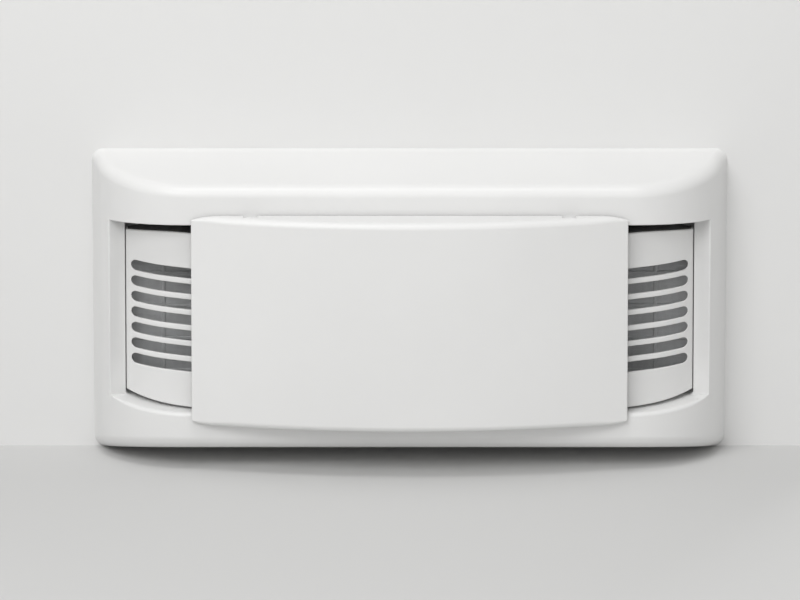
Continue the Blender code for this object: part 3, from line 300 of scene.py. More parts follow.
def plug(wiring, shader, base, roughness, height, strength, distance=0.0002):
    """Links colour, roughness and bump height into a shader."""
    wiring.tree.links.new(base, shader.inputs["Base Color"])
    wiring.tree.links.new(roughness, shader.inputs["Roughness"])
    bump = wiring.node("Bump", {"Height": height, "Strength": strength, "Distance": distance})
    wiring.tree.links.new(bump.outputs["Normal"], shader.inputs["Normal"])


def shade(value, factor):
    return (*(channel * factor for channel in value), 1.0)


def plastic(name, base, gloss, grain=2200.0, bump=0.10, dust=0.25, wear=0.12):
    """Moulded plastic with fine grain, slow patches of tone, light scuffs and settled dust."""
    material, shader, w = start_material(name, gloss)
    texture = group_node(w, "moulding_grain", Grain=grain, Patch=7.0)
    dusting = group_node(w, "settled_dust", Scale=55.0, Amount=dust).outputs["Mask"]
    scuffs = group_node(w, "handling_scuffs", Scale=36.0, Amount=wear).outputs["Mask"]
    tone = w.mix(texture.outputs["Mask"], shade(base, 0.985), shade(base, 1.01))
    tone = w.mix(dusting, tone, (0.56, 0.54, 0.50, 1.0))
    rough = w.remap(texture.outputs["Mask"], 0.0, 1.0, gloss - 0.03, gloss + 0.04)
    rough = w.math("ADD", rough, w.math("MULTIPLY", scuffs, 0.35))
    rough = w.math("ADD", rough, w.math("MULTIPLY", dusting, 0.30))
    plug(w, shader, tone, rough, texture.outputs["Height"], bump)
    return material


def painted_steel(name, base):
    """Powder-coated sheet: an orange-peel surface with dust and rubbed patches."""
    material, shader, w = start_material(name, 0.42)
    peel = group_node(w, "moulding_grain", Grain=420.0, Patch=5.0)
    dusting = group_node(w, "settled_dust", Scale=30.0, Amount=0.14).outputs["Mask"]
    scuffs = group_node(w, "handling_scuffs", Scale=24.0, Amount=0.4).outputs["Mask"]
    tone = w.mix(peel.outputs["Mask"], shade(base, 0.96), shade(base, 1.03))
    tone = w.mix(scuffs, tone, shade(base, 0.72))
    tone = w.mix(dusting, tone, (0.42, 0.40, 0.36, 1.0))
    rough = w.math("ADD", w.remap(peel.outputs["Mask"], 0, 1, 0.36, 0.50), dusting)
    plug(w, shader, tone, rough, peel.outputs["Height"], 0.22, 0.0003)
    return material


def galvanised():
    """Zinc-coated sheet with crystal spangle, rolling lines and dull patches."""
    material, shader, w = start_material("zinc_sheet", 0.4, 0.9)
    spangle = w.node("TexVoronoi", {"Vector": w.place(), "Scale": 130.0}).outputs["Color"]
    crystal = w.node("SeparateColor", {"Color": spangle}).outputs[0]
    rolling = w.noise(w.place((0.05, 1.0, 1.0)), 700.0, 2.0)
    dull = w.remap(w.noise(w.place(), 14.0, 4.0), 0.4, 0.7)
    tone = w.mix(crystal, (0.44, 0.45, 0.47, 1.0), (0.62, 0.63, 0.64, 1.0))
    tone = w.mix(w.math("MULTIPLY", dull, 0.5), tone, (0.46, 0.46, 0.45, 1.0))
    rough = w.math("ADD", w.remap(crystal, 0, 1, 0.28, 0.48), w.math("MULTIPLY", dull, 0.18))
    plug(w, shader, tone, rough, rolling, 0.06, 0.0001)
    return material


def bare_metal(name, light, dark, gloss, stretch=(1.0, 0.04, 1.0), lines=900.0):
    """Bare metal with drawing or turning lines along one axis and darker tarnish patches."""
    material, shader, w = start_material(name, gloss, 1.0)
    drawing = w.noise(w.place(stretch), lines, 3.0)
    tarnish = w.remap(w.noise(w.place(), 45.0, 5.0), 0.45, 0.72)
    tone = w.mix(w.math("MULTIPLY", tarnish, 0.75), (*light, 1.0), (*dark, 1.0))
    lined = w.remap(drawing, 0.3, 0.7, gloss - 0.06, gloss + 0.08)
    rough = w.math("ADD", lined, w.math("MULTIPLY", tarnish, 0.15))
    plug(w, shader, tone, rough, drawing, 0.08, 0.0001)
    return material


def foam(name, base, bead_scale, bump):
    """Moulded bead foam: rounded cells pressed flat, each a slightly different tone."""
    material, shader, w = start_material(name, 0.85)
    cells = w.node("TexVoronoi", {"Vector": w.place(), "Scale": bead_scale})
    tone_mask = w.node("SeparateColor", {"Color": cells.outputs["Color"]}).outputs[0]
    tone = w.mix(tone_mask, shade(base, 0.93), shade(base, 1.02))
    edge = w.remap(cells.outputs["Distance"], 0.0, 0.7, 1.0, 0.0)
    rough = w.remap(tone_mask, 0, 1, 0.78, 0.92)
    plug(w, shader, tone, rough, edge, bump, 0.0006)
    return material


def rubber():
    """Black rubber, dull, with bloom on the faces that look up."""
    material, shader, w = start_material("black_rubber_finish", 0.75)
    texture = group_node(w, "moulding_grain", Grain=1500.0, Patch=25.0)
    bloom = group_node(w, "settled_dust", Scale=90.0, Amount=0.5).outputs["Mask"]
    tone = w.mix(texture.outputs["Mask"], (0.016, 0.016, 0.017, 1), (0.026, 0.026, 0.027, 1))
    tone = w.mix(bloom, tone, (0.14, 0.135, 0.13, 1))
    rough = w.remap(texture.outputs["Mask"], 0, 1, 0.68, 0.84)
    plug(w, shader, tone, rough, texture.outputs["Height"], 0.25)
    return material


def filter_weave(base):
    """Woven filter mesh: crossing threads at a 1.1 mm pitch, with lint caught between them; the gaps between
    the threads are painted darker as shade and the thread tops painted lighter.
    """
    material, shader, w = start_material("filter_weave", 0.8)
    where = w.node("SeparateXYZ", {"Vector": w.place()})
    pitch = 0.0011
    across = w.math("SINE", w.math("MULTIPLY", where.outputs["X"], math.tau / pitch))
    down = w.math("SINE", w.math("MULTIPLY", where.outputs["Z"], math.tau / pitch))
    thread = w.math("MAXIMUM", across, down)
    height = w.remap(thread, -0.4, 1.0)
    lint = w.remap(w.noise(w.place(), 70.0, 5.0), 0.5, 0.75, 0.0, 0.25)
    # Painted shade: the gaps between the threads are coloured darker and the raised thread tops lighter.
    tone = w.mix(height, shade(base, 0.62), shade(base, 1.12))
    tone = w.mix(lint, tone, (0.45, 0.44, 0.42, 1.0))
    rough = w.remap(height, 0, 1, 0.9, 0.65)
    plug(w, shader, tone, rough, height, 0.8, 0.0004)
    return material


def enamel():
    """Black stoved enamel over a slightly uneven steel shell."""
    material, shader, w = start_material("black_enamel_finish", 0.3)
    texture = group_node(w, "moulding_grain", Grain=260.0, Patch=18.0)
    dusting = group_node(w, "settled_dust", Scale=45.0, Amount=0.55).outputs["Mask"]
    tone = w.mix(texture.outputs["Mask"], (0.014, 0.014, 0.016, 1), (0.024, 0.024, 0.026, 1))
    tone = w.mix(dusting, tone, (0.22, 0.21, 0.19, 1))
    rough = w.math("ADD", w.remap(texture.outputs["Mask"], 0, 1, 0.24, 0.40), dusting)
    plug(w, shader, tone, rough, texture.outputs["Height"], 0.18, 0.0003)
    return material


def stage_surface(name, base, one_sided=False):
    """Plain matt floor or backdrop; a one-sided one isn't seen from behind."""
    material, shader, w = start_material(name, 0.9)
    shader.inputs["Specular IOR Level"].default_value = 0.1
    mask = group_node(w, "moulding_grain", Grain=300.0, Patch=1.5).outputs["Mask"]
    w.tree.links.new(w.mix(mask, shade(base, 0.995), shade(base, 1.005)), shader.inputs["Base Color"])
    if one_sided:
        back = w.node("NewGeometry").outputs["Backfacing"]
        w.tree.links.new(w.math("SUBTRACT", 1.0, back), shader.inputs["Alpha"])
    return material


def material_makers(colours):
    return {
        "bezel_white": lambda: plastic("moulded_white", colours.bezel, 0.36, bump=0.05, dust=0.0, wear=0.06),
        "panel_grey": lambda: plastic("moulded_grey", colours.panel, 0.45, dust=0.10),
        "filter_mesh": lambda: filter_weave(colours.filter),
        "black_plastic": lambda: plastic("moulded_black", colours.dark, 0.42, 1400.0, 0.18, 0.35, 0.25),
        "white_foam": lambda: foam("bead_foam", (0.82, 0.82, 0.81), 260.0, 0.35),
        "dark_foam": lambda: foam("seal_foam", (0.05, 0.05, 0.05), 900.0, 0.8),
        "black_rubber": rubber,
        "galvanised_steel": galvanised,
        "cabinet_paint": lambda: painted_steel("cabinet_powder_coat", colours.cabinet),
        "bright_steel": lambda: bare_metal("turned_steel", (0.72, 0.72, 0.73), (0.45, 0.42, 0.38), 0.26),
        "aluminium": lambda: bare_metal(
            "mill_aluminium", (0.80, 0.81, 0.82), (0.60, 0.61, 0.62), 0.34, (1.0, 1.0, 0.05), 1200.0
        ),
        "copper": lambda: bare_metal("drawn_copper", (0.83, 0.43, 0.27), (0.42, 0.20, 0.12), 0.28),
        "black_enamel": enamel,
    }


def finish_of(slot):
    """The material for one of the record's slots, made when it is first needed."""
    name = "finish_" + slot
    material = bpy.data.materials.get(name)
    if material is None:
        material = material_makers(bpy.context.scene.ac_colours)[slot]()
        material.name = name
    return material


# ---------------------------------------------------------------- shared modelling steps

def solid(name, shape):
    """Puts a bmesh into the scene as an object at the origin."""
    mesh = bpy.data.meshes.new(name)
    shape.to_mesh(mesh)
    shape.free()
    obj = bpy.data.objects.new(name, mesh)
    bpy.context.scene.collection.objects.link(obj)
    return obj


def settle(obj):
    """Applies the modifiers, so that the piece is one plain mesh."""
    bpy.context.view_layer.update()
    graph = bpy.context.evaluated_depsgraph_get()
    old = obj.data
    mesh = bpy.data.meshes.new_from_object(obj.evaluated_get(graph))
    obj.modifiers.clear()
    obj.data = mesh
    mesh.name = obj.name
    if old.users == 0:
        bpy.data.meshes.remove(old)
    if not mesh.polygons:
        raise RuntimeError(f"{obj.name} has no faces left")
    return obj


def combine(obj, operation, *others):
    for other in others:
        step = obj.modifiers.new(operation.lower(), "BOOLEAN")
        step.operation = operation
        step.object = other
        settle(obj)
        bpy.data.objects.remove(other)
    return obj


def cut(obj, *cutters):
    return combine(obj, "DIFFERENCE", *cutters)


def reshape(obj, change):
    """Runs change on a bmesh of the piece and writes it back."""
    shape = bmesh.new()
    shape.from_mesh(obj.data)
    change(shape)
    shape.to_mesh(obj.data)
    shape.free()
    return obj


def everything(shape):
    return shape.verts[:] + shape.edges[:] + shape.faces[:]


def faces_of(verts):
    """The faces that touch the given points, in a fixed order."""
    return list(dict.fromkeys(touching for vert in verts for touching in vert.link_faces))


def round_off(shape, edges, radius, segments):
    """Rounds the given edges of a bmesh."""
    bmesh.ops.bevel(
        shape, geom=edges, offset=radius, segments=segments, profile=0.5, affect="EDGES", material=-1
    )


def close_up(shape):
    """Fills every open rim and turns the faces outward."""
    bmesh.ops.holes_fill(shape, edges=[edge for edge in shape.edges if edge.is_boundary])
    bmesh.ops.recalc_face_normals(shape, faces=shape.faces[:])


def repeat_round(shape, count):
    """Repeats one blade count times round the Y axis."""
    bmesh.ops.spin(
        shape, geom=everything(shape), cent=(0, 0, 0), axis=(0, 1, 0),
        angle=math.tau * (count - 1) / count, steps=count - 1, use_duplicate=True,
    )
    bmesh.ops.recalc_face_normals(shape, faces=shape.faces[:])


def weld(obj, reach):
    """Joins points of a piece that lie closer than reach."""
    return reshape(obj, lambda shape: bmesh.ops.remove_doubles(shape, verts=shape.verts, dist=reach))


def round_edges(obj, width, segments=3, degrees=30.0, weighted=False):
    """Rounds the edges sharper than an angle, or those that carry a bevel weight."""
    step = obj.modifiers.new("rounding", "BEVEL")
    step.width = width
    step.segments = segments
    step.limit_method = "WEIGHT" if weighted else "ANGLE"
    step.angle_limit = math.radians(degrees)
    step.use_clamp_overlap = not weighted
    return settle(obj)


def finish(obj, slot, body, replaced=(), degrees=32.0):
    """Gives a piece its slot's material, smooth shading, its body and the nodes it stands for."""
    obj.data.materials.clear()
    obj.data.materials.append(finish_of(slot))
    obj.data.polygons.foreach_set("use_smooth", [True] * len(obj.data.polygons))
    obj.data.set_sharp_from_angle(angle=math.radians(degrees))
    obj.modifiers.new("even_shading", "WEIGHTED_NORMAL").keep_sharp = True
    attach(obj, body)
    if replaced:
        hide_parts(*replaced)


def add_box(shape, low, high):
    low, high = Vector(low), Vector(high)
    made = bmesh.ops.create_cube(shape, size=1)["verts"]
    bmesh.ops.scale(shape, vec=high - low, verts=made)
    bmesh.ops.translate(shape, vec=(low + high) / 2, verts=made)
    return made


def boxes(name, pairs):
    """One piece made of boxes, each given by two opposite corners."""
    shape = bmesh.new()
    for low, high in pairs:
        lows = [min(a, b) for a, b in zip(low, high)]
        highs = [max(a, b) for a, b in zip(low, high)]
        add_box(shape, lows, highs)
    return solid(name, shape)


def bar(name, start, end, radius, sides=32):
    """A round bar between two points."""
    start, end = Vector(start), Vector(end)
    shape = bmesh.new()
    bmesh.ops.create_cone(
        shape, cap_ends=True, segments=sides, radius1=radius, radius2=radius, depth=(end - start).length
    )
    turn = (end - start).to_track_quat("Z", "Y").to_matrix()
    bmesh.ops.rotate(shape, matrix=turn, verts=shape.verts)
    bmesh.ops.translate(shape, vec=(start + end) / 2, verts=shape.verts)
    return solid(name, shape)


def softened(points, radius, steps=3):
    """A profile whose inner corners are rounded."""
    points = [Vector(point) for point in points]
    path = [points[0]]
    for before, corner, after in zip(points, points[1:], points[2:]):
        reach = min(radius, (before - corner).length / 2.1, (after - corner).length / 2.1)
        start = corner + (before - corner).normalized() * reach
        end = corner + (after - corner).normalized() * reach
        for step in range(steps + 1):
            t = step / steps
            path.append(start * (1 - t) ** 2 + corner * 2 * t * (1 - t) + end * t ** 2)
    return path + [points[-1]]


def add_turned(shape, profile, place, axis="Z", steps=64, closed=False):
    """Spins a profile of (radius, height) points round an axis through place."""
    verts = [shape.verts.new((point[0], 0, point[1])) for point in profile]
    pairs = list(zip(verts, verts[1:])) + ([(verts[-1], verts[0])] if closed else [])
    edges = [shape.edges.new(pair) for pair in pairs]
    before = set(shape.verts) - set(verts)
    bmesh.ops.spin(
        shape, geom=verts + edges, cent=(0, 0, 0), axis=(0, 0, 1), angle=math.tau, steps=steps,
        use_merge=True,
    )
    made = [vert for vert in shape.verts if vert not in before]
    bmesh.ops.remove_doubles(shape, verts=made, dist=1e-6)
    made = [vert for vert in shape.verts if vert not in before]
    angle, about = SPIN_TURNS[axis]
    bmesh.ops.rotate(shape, matrix=Matrix.Rotation(angle, 3, about), verts=made)
    bmesh.ops.translate(shape, vec=place, verts=made)
    bmesh.ops.recalc_face_normals(shape, faces=faces_of(made))
    return made


def turned(name, profile, place, axis="Z", steps=64, closed=False):
    shape = bmesh.new()
    add_turned(shape, profile, place, axis, steps, closed)
    return solid(name, shape)


def merged_copy(node):
    """A copy of a CAD node's mesh with its loose triangles welded into clean faces."""
    shape = bmesh.new()
    shape.from_mesh(frame["nodes"][node].data)
    bmesh.ops.remove_doubles(shape, verts=shape.verts, dist=2e-6)
    bmesh.ops.dissolve_limit(
        shape, angle_limit=math.radians(0.8), verts=shape.verts[:], edges=shape.edges[:]
    )
    return solid("finished_" + node, shape)


def refine(node, radius, segments=2):
    """Stands for a CAD node with the same shape, its edges rounded as made pieces' are."""
    piece = round_edges(merged_copy(node), radius, segments)
    finish(piece, SLOT_OF[node], BODY_OF[node], [node], degrees=40.0)


# ---------------------------------------------------------------- bezel

def bezel_form(sizes, inset=0.0):
    """The drafted outer form: rounded cheeks, then rounded roof and sill."""
    shape = bmesh.new()
    bmesh.ops.create_cube(shape, size=2)
    depth = depth_of(BEZEL_LOW.y)
    for vert in shape.verts:
        front = vert.co.y < 0
        top, bottom = (sizes.front_top, sizes.front_bottom) if front else (MID_Z, -MID_Z)
        x = math.copysign((sizes.front_half_width if front else BEZEL_HIGH.x) - inset, vert.co.x)
        z = top - inset if vert.co.z > 0 else bottom + inset
        vert.co = face(x, depth - inset if front else 0, z)
    middle_y = WALL_Y - depth / 2
    cheeks = [
        edge for edge in shape.edges
        if all(v.co.y < middle_y for v in edge.verts) and edge.verts[0].co.x * edge.verts[1].co.x > 0
    ]
    round_off(shape, cheeks, sizes.cheek_reach, 30)
    shape.normal_update()
    rims = [
        edge for edge in shape.edges if any(abs(f.normal.z) > 0.9 for f in edge.link_faces)
        and any(v.co.y < WALL_Y - 1e-5 for v in edge.verts)
    ]
    round_off(shape, rims, sizes.rim_reach, 8)
    return shape


def add_cove(shape, reach):
    """Turns the form's rear edge out against the wall along the top and both sides."""
    rings = (0.0065, 0.0042, 0.0022, 0.0008)
    sill_z, cheek_x, roof_z = 0.02, 0.28, BEZEL_HIGH.z - 0.012
    for d in rings:
        bmesh.ops.bisect_plane(
            shape, geom=everything(shape), plane_co=face(0, d, 0), plane_no=(0, 1, 0)
        )
    for vert in shape.verts:
        out = reach * (1 - min(1.0, depth_of(vert.co.y) / rings[0])) ** 2.2
        if vert.co.z > sill_z and abs(vert.co.x) > cheek_x:
            vert.co.x += math.copysign(out, vert.co.x)
        if vert.co.z > roof_z:
            vert.co.z += out


def opening_height(sizes, x, level, drop):
    """Height at x of a long edge that is flat in the middle and closes in towards both ends."""
    return level - math.copysign(drop * max(0.0, abs(x) - sizes.opening_flat) ** 2, level)


def opening_prism(sizes, name, half_width, grow, back_d, front_d, corner=0.0):
    """The opening's outline swept straight through the bezel."""
    shape = bmesh.new()
    bmesh.ops.create_grid(shape, x_segments=32, y_segments=1, size=1)
    for vert in shape.verts:
        x = vert.co.x * half_width
        upper = vert.co.y > 0
        level = sizes.opening_top if upper else sizes.opening_bottom
        height = opening_height(sizes, x, level, OPENING_DROP)
        vert.co = face(x, back_d, height + (grow if upper else -grow))
    swept = bmesh.ops.extrude_face_region(shape, geom=shape.faces[:], use_keep_orig=True)
    moved = [item for item in swept["geom"] if isinstance(item, bmesh.types.BMVert)]
    bmesh.ops.translate(shape, vec=(0, back_d - front_d, 0), verts=moved)
    bmesh.ops.recalc_face_normals(shape, faces=shape.faces[:])
    if corner:
        uprights = [
            e for e in shape.edges
            if abs(e.verts[0].co.x - e.verts[1].co.x) < 1e-6 and abs(e.verts[0].co.x) > half_width - 1e-5
            and abs(e.verts[0].co.y - e.verts[1].co.y) > 1e-4
        ]
        round_off(shape, uprights, corner, 5)
    return solid(name, shape)


def flare_prism(sizes):
    """The part of the opening that widens over each cheek, with rounded corners."""
    slope = FLARE_AHEAD / FLARE_ACROSS
    flare = opening_prism(sizes, "flare", 0.32, 0.0, FLARE_D, 0.140)

    def trim(shape):
        for side in (-1, 1):
            bmesh.ops.bisect_plane(
                shape, geom=everything(shape), plane_co=face(side * OPENING_HALF, FLARE_D, 0),
                plane_no=(side * slope, 1, 0), clear_outer=True,
            )
            bmesh.ops.holes_fill(shape, edges=[edge for edge in shape.edges if edge.is_boundary])
        bmesh.ops.recalc_face_normals(shape, faces=shape.faces[:])
        slanted = {f for f in shape.faces if abs(f.normal.x) > 0.3 and abs(f.normal.z) < 0.2}
        corners = [
            e for e in shape.edges if not slanted.isdisjoint(e.link_faces)
            and abs(e.verts[0].co.z - e.verts[1].co.z) < 0.002
            and abs(e.verts[0].co.y - e.verts[1].co.y) > 0.01
        ]
        round_off(shape, corners, FLARE_CORNER, 6)

    return reshape(flare, trim)


def lip_path(sizes, tree, corner_x):
    """Gives the lower lip's point at x: along the opening's floor, then up its corner fillet."""
    reach = 0.0048

    def point(x):
        along = min(0.985, max(0.0, (abs(x) - corner_x + reach) / reach))
        floor = opening_height(sizes, x, sizes.opening_bottom, OPENING_DROP)
        z = floor + FLARE_CORNER * (1 - math.sqrt(1 - along ** 2))
        return tree.ray_cast(face(x, 0.3, z), Vector((0, 1, 0)))[0]

    return point


def lip_cutter(sizes):
    """A sweep that rounds the opening's lower lip, fading out in both corners."""
    form = bezel_form(sizes)
    tree = BVHTree.FromBMesh(form)
    form.free()
    outside = face(OPENING_HALF + 0.1, FLARE_D + 0.1 * FLARE_AHEAD / FLARE_ACROSS, 0)
    reveal = tree.ray_cast(outside, Vector((-FLARE_ACROSS, FLARE_AHEAD, 0)))[0]
    point = lip_path(sizes, tree, reveal.x)
    last = reveal.x - 0.0008
    stations = spread(last, 90, 1.5)
    arc, fade_length, spare = 9, 0.030, 0.0009
    shape = bmesh.new()
    bmesh.ops.create_grid(shape, x_segments=len(stations) - 1, y_segments=arc + 4, size=1)
    for vert in shape.verts:
        x = stations[round((vert.co.x + 1) / 2 * (len(stations) - 1))]
        step = round((vert.co.y + 1) / 2 * (arc + 4))
        edge = point(x)
        along = (point(x + 2e-4) - point(x - 2e-4)).normalized()
        front = along.cross(Vector((0, 0, 1))).normalized()
        floor = Vector((0, -1, 0)).cross(along).normalized()
        front = -front if front.y > 0 else front
        floor = -floor if floor.z < 0 else floor
        fade = min(1.0, max(0.0, (last - abs(x)) / fade_length))
        radius = sizes.lip_radius * (0.12 + 0.88 * fade * (2 - fade))
        centre = edge - (front + floor) * (radius / (1 + front.dot(floor)) + 0.00002)
        if step in (0, arc + 4):
            vert.co = edge + (front + floor) * spare
        elif step == 1:
            vert.co = centre + front * (radius + spare)
        elif step == arc + 3:
            vert.co = centre + floor * (radius + spare)
        else:
            vert.co = centre + front.slerp(floor, (step - 2) / arc) * radius
    bmesh.ops.remove_doubles(shape, verts=shape.verts, dist=1e-6)
    close_up(shape)
    return solid("lip_round", shape)


def weigh_opening_rims(sizes, shape):
    """Marks the opening's upper and side front edges for a small rounding."""
    weights = shape.edges.layers.float.new("bevel_weight_edge")
    for edge in shape.edges:
        if len(edge.link_faces) != 2 or edge.calc_face_angle(0) < math.radians(24):
            continue
        middle = (edge.verts[0].co + edge.verts[1].co) / 2
        z = middle.z - MID_Z
        roof = opening_height(sizes, middle.x, sizes.opening_top, OPENING_DROP) + 0.001
        above_lip = sizes.opening_bottom + 0.014 < z < roof
        if depth_of(middle.y) > 0.040 and above_lip and abs(middle.x) < 0.2965:
            edge[weights] = 1.0


def make_front_bezel(sizes):
    """The bezel's shell, the collar that lines its opening, and the opening cut through both."""
    shape = bezel_form(sizes)
    rear = [f for f in shape.faces if all(abs(v.co.y - WALL_Y) < 1e-6 for v in f.verts)]
    bmesh.ops.delete(shape, geom=rear, context="FACES")
    add_cove(shape, sizes.cove)
    bezel = solid("front_bezel_moulding", shape)
    shell = bezel.modifiers.new("wall", "SOLIDIFY")
    shell.thickness = sizes.wall_thickness
    shell.offset = -1
    settle(bezel)
    collar_wall = 0.003
    collar = opening_prism(sizes, "collar", OPENING_HALF + collar_wall, collar_wall, 0.005, 0.100)
    block_x, block_half = 0.277, 0.008
    blocks = boxes("cheek_blocks", [
        (face(side * block_x - block_half, 0.057, -0.084), face(side * block_x + block_half, 0.029, 0.090))
        for side in (-1, 1)
    ])
    for lining_and_shade_sheet in (collar, blocks):
        combine(lining_and_shade_sheet, "INTERSECT", solid("limit", bezel_form(sizes, sizes.wall_thickness / 2)))
    combine(bezel, "UNION", collar, blocks)
    inner = opening_prism(sizes, "inner", OPENING_HALF, 0.0, -0.010, 0.140, corner=0.003)
    cut(bezel, inner, flare_prism(sizes), lip_cutter(sizes))
    weld(bezel, 2e-5)
    reshape(bezel, lambda s: weigh_opening_rims(sizes, s))
    round_edges(bezel, sizes.rim_radius, 3, weighted=True)
    finish(bezel, "bezel_white", "chassis", ["front_bezel"], degrees=38)


# ---------------------------------------------------------------- grille insert and cover

def insert_depth(sizes, x):
    """Depth of the insert's face: flat under the cover, then two arcs round the cheek."""
    x = abs(x)
    face_d = depth_of(INSERT_LOW.y)
    broad, tight, cheek_x = 0.527, 0.110, 0.228
    if x <= sizes.insert_flat:
        return face_d
    base = face_d - math.sqrt(broad ** 2 - sizes.insert_flat ** 2)
    if x <= cheek_x:
        return base + math.sqrt(broad ** 2 - x ** 2)
    slope = cheek_x / broad
    centre_x = cheek_x - tight * slope
    join_d = base + math.sqrt(broad ** 2 - cheek_x ** 2)
    return join_d - tight * math.sqrt(1 - slope ** 2) + math.sqrt(tight ** 2 - (x - centre_x) ** 2)


def crowned_block(name, half, stations, depth_at, edge_at, back_d, round_at, side):
    """A solid with a curved front whose long edges are rounded by round_at and its ends by side."""
    turns = 8
    rows = 2 * turns + 4
    curve = [half - side + side * math.sin(math.pi * n / 10) for n in range(6)]
    inner = [x for x in stations if abs(x) < half - side - 1e-5]
    xs = [-x for x in reversed(curve)] + inner + curve
    shape = bmesh.new()
    bmesh.ops.create_grid(shape, x_segments=len(xs) - 1, y_segments=rows - 1, size=1)
    for vert in shape.verts:
        x = xs[round((vert.co.x + 1) / 2 * (len(xs) - 1))]
        row = round((vert.co.y + 1) / 2 * (rows - 1))
        upper = row >= rows // 2
        step = rows - 1 - row if upper else row
        level = edge_at(x, upper)
        past = max(0.0, abs(x) - half + side)
        front = depth_at(x) - side + math.sqrt(max(0.0, side ** 2 - past ** 2))
        radius = max(1e-5, min(round_at(x), front - back_d - 0.0003))
        angle = math.pi / 2 * (step - 1) / turns
        if step == 0:
            vert.co = face(x, back_d, level)
        else:
            inward = radius * (1 - math.cos(angle)) * (-1 if upper else 1)
            vert.co = face(x, front - radius * (1 - math.sin(angle)), level + inward)
    ends_of_face = [e for e in shape.edges if all(abs(v.co.x) > half - 1e-6 for v in e.verts)]
    swept = bmesh.ops.extrude_edge_only(shape, edges=ends_of_face)["geom"]
    for item in swept:
        if isinstance(item, bmesh.types.BMVert):
            item.co.y = WALL_Y - back_d
    bmesh.ops.remove_doubles(shape, verts=shape.verts, dist=1e-6)
    close_up(shape)
    return solid(name, shape)


def tray(name, half, stations, depth_at, edge_at, back_d, wall, round_at, side):
    """A hollow moulding with a curved front and returns round its edge, open at the back."""
    outer = crowned_block(name, half, stations, depth_at, edge_at, back_d, round_at, side)
    inner = crowned_block(
        "hollow", half - wall, stations, lambda x: depth_at(x) - wall,
        lambda x, upper: edge_at(x, upper) + (-wall if upper else wall), back_d - 0.004,
        lambda x: max(0.0005, round_at(x) - wall), 0.0005,
    )
    return cut(outer, inner)


def slot_cutter(sizes):
    """All the intake slots as one cutter: round-ended bars."""
    shape = bmesh.new()
    hidden_end, through = 0.0058, 0.07
    inner_x = COVER_HIGH.x - hidden_end
    straight = sizes.slot_outer - inner_x - 2 * sizes.slot_radius
    along_y = Matrix.Rotation(math.pi / 2, 3, "X")
    for side in (-1, 1):
        for row in range(sizes.slot_rows):
            made = bmesh.ops.create_cone(
                shape, cap_ends=True, segments=28, radius1=sizes.slot_radius, radius2=sizes.slot_radius,
                depth=through,
            )["verts"]
            bmesh.ops.rotate(shape, matrix=along_y @ Matrix.Rotation(math.pi / 28, 3, "Z"), verts=made)
            inner = [v for v in made if v.co.x * side < 1e-5]
            bmesh.ops.translate(shape, vec=(-side * straight, 0, 0), verts=inner)
            z = sizes.slot_middle + (row - (sizes.slot_rows - 1) / 2) * sizes.slot_pitch
            place = face(side * (sizes.slot_outer - sizes.slot_radius), 0.060, z)
            bmesh.ops.translate(shape, vec=place, verts=made)
    return solid("slots", shape)


def weigh_slot_lips(sizes, shape):
    """Marks the outer edges of the slots."""
    layer = shape.edges.layers.float
    weights = layer.get("bevel_weight_edge") or layer.new("bevel_weight_edge")
    for edge in shape.edges:
        edge[weights] = 0.0
        if len(edge.link_faces) != 2 or edge.calc_face_angle(0) < math.radians(45):
            continue
        middle = (edge.verts[0].co + edge.verts[1].co) / 2
        x, d, z = abs(middle.x), depth_of(middle.y), abs(middle.z - MID_Z)
        in_field = 0.198 < x < sizes.slot_outer + 0.001 and z < 0.056
        if in_field and abs(d - insert_depth(sizes, x)) < 0.0007:
            edge[weights] = 1.0


def spread(half, count, power=1.0):
    """Stations from -half to half, closer together towards the ends when power is above 1."""
    one = [half * (1 - (1 - (i + 1) / count) ** power) for i in range(count)]
    return [-x for x in reversed(one)] + [0.0] + one


def make_grille_insert(sizes):
    """The curved insert, with its slots and the openings behind the cover."""
    flat = sizes.insert_flat
    cheek = [flat + (INSERT_HIGH.x - flat) * i / 22 for i in range(1, 23)]
    half = [0.06, 0.12, 0.17, 0.198, flat] + cheek
    insert = tray(
        "grille_insert_moulding", INSERT_HIGH.x, [-x for x in reversed(half)] + [0.0] + half,
        lambda x: insert_depth(sizes, x),
        lambda x, upper: opening_height(
            sizes, x, sizes.insert_top if upper else sizes.insert_bottom, INSERT_DROP
        ),
        depth_of(INSERT_HIGH.y), 0.0025, lambda x: 0.0013, 0.0010,
    )
    control_window = (face(-0.085, 0.110, -0.048), face(0.085, 0.050, 0.050))
    filter_x, filter_half = 0.1475, 0.0425
    filter_windows = [
        (face(side * filter_x - filter_half, 0.110, -0.070),
         face(side * filter_x + filter_half, 0.050, 0.069)) for side in (-1, 1)
    ]
    windows = boxes("windows", [control_window, *filter_windows])
    pull = middle_of("vent_pull")
    pull_z = pull.z - MID_Z
    bore = bar("pull_bore", face(pull.x, 0.090, pull_z), face(pull.x, 0.070, pull_z), 0.003)
    cut(insert, slot_cutter(sizes), windows, bore)
    weld(insert, 1e-5)
    reshape(insert, lambda s: weigh_slot_lips(sizes, s))
    round_edges(insert, sizes.slot_lip, 3, weighted=True)
    finish(insert, "bezel_white", "chassis", ["grille_insert"], degrees=38)
    # A dark sheet of painted shade in the outlet gap along the top of the insert.
    make_outlet_shade_sheet(sizes)


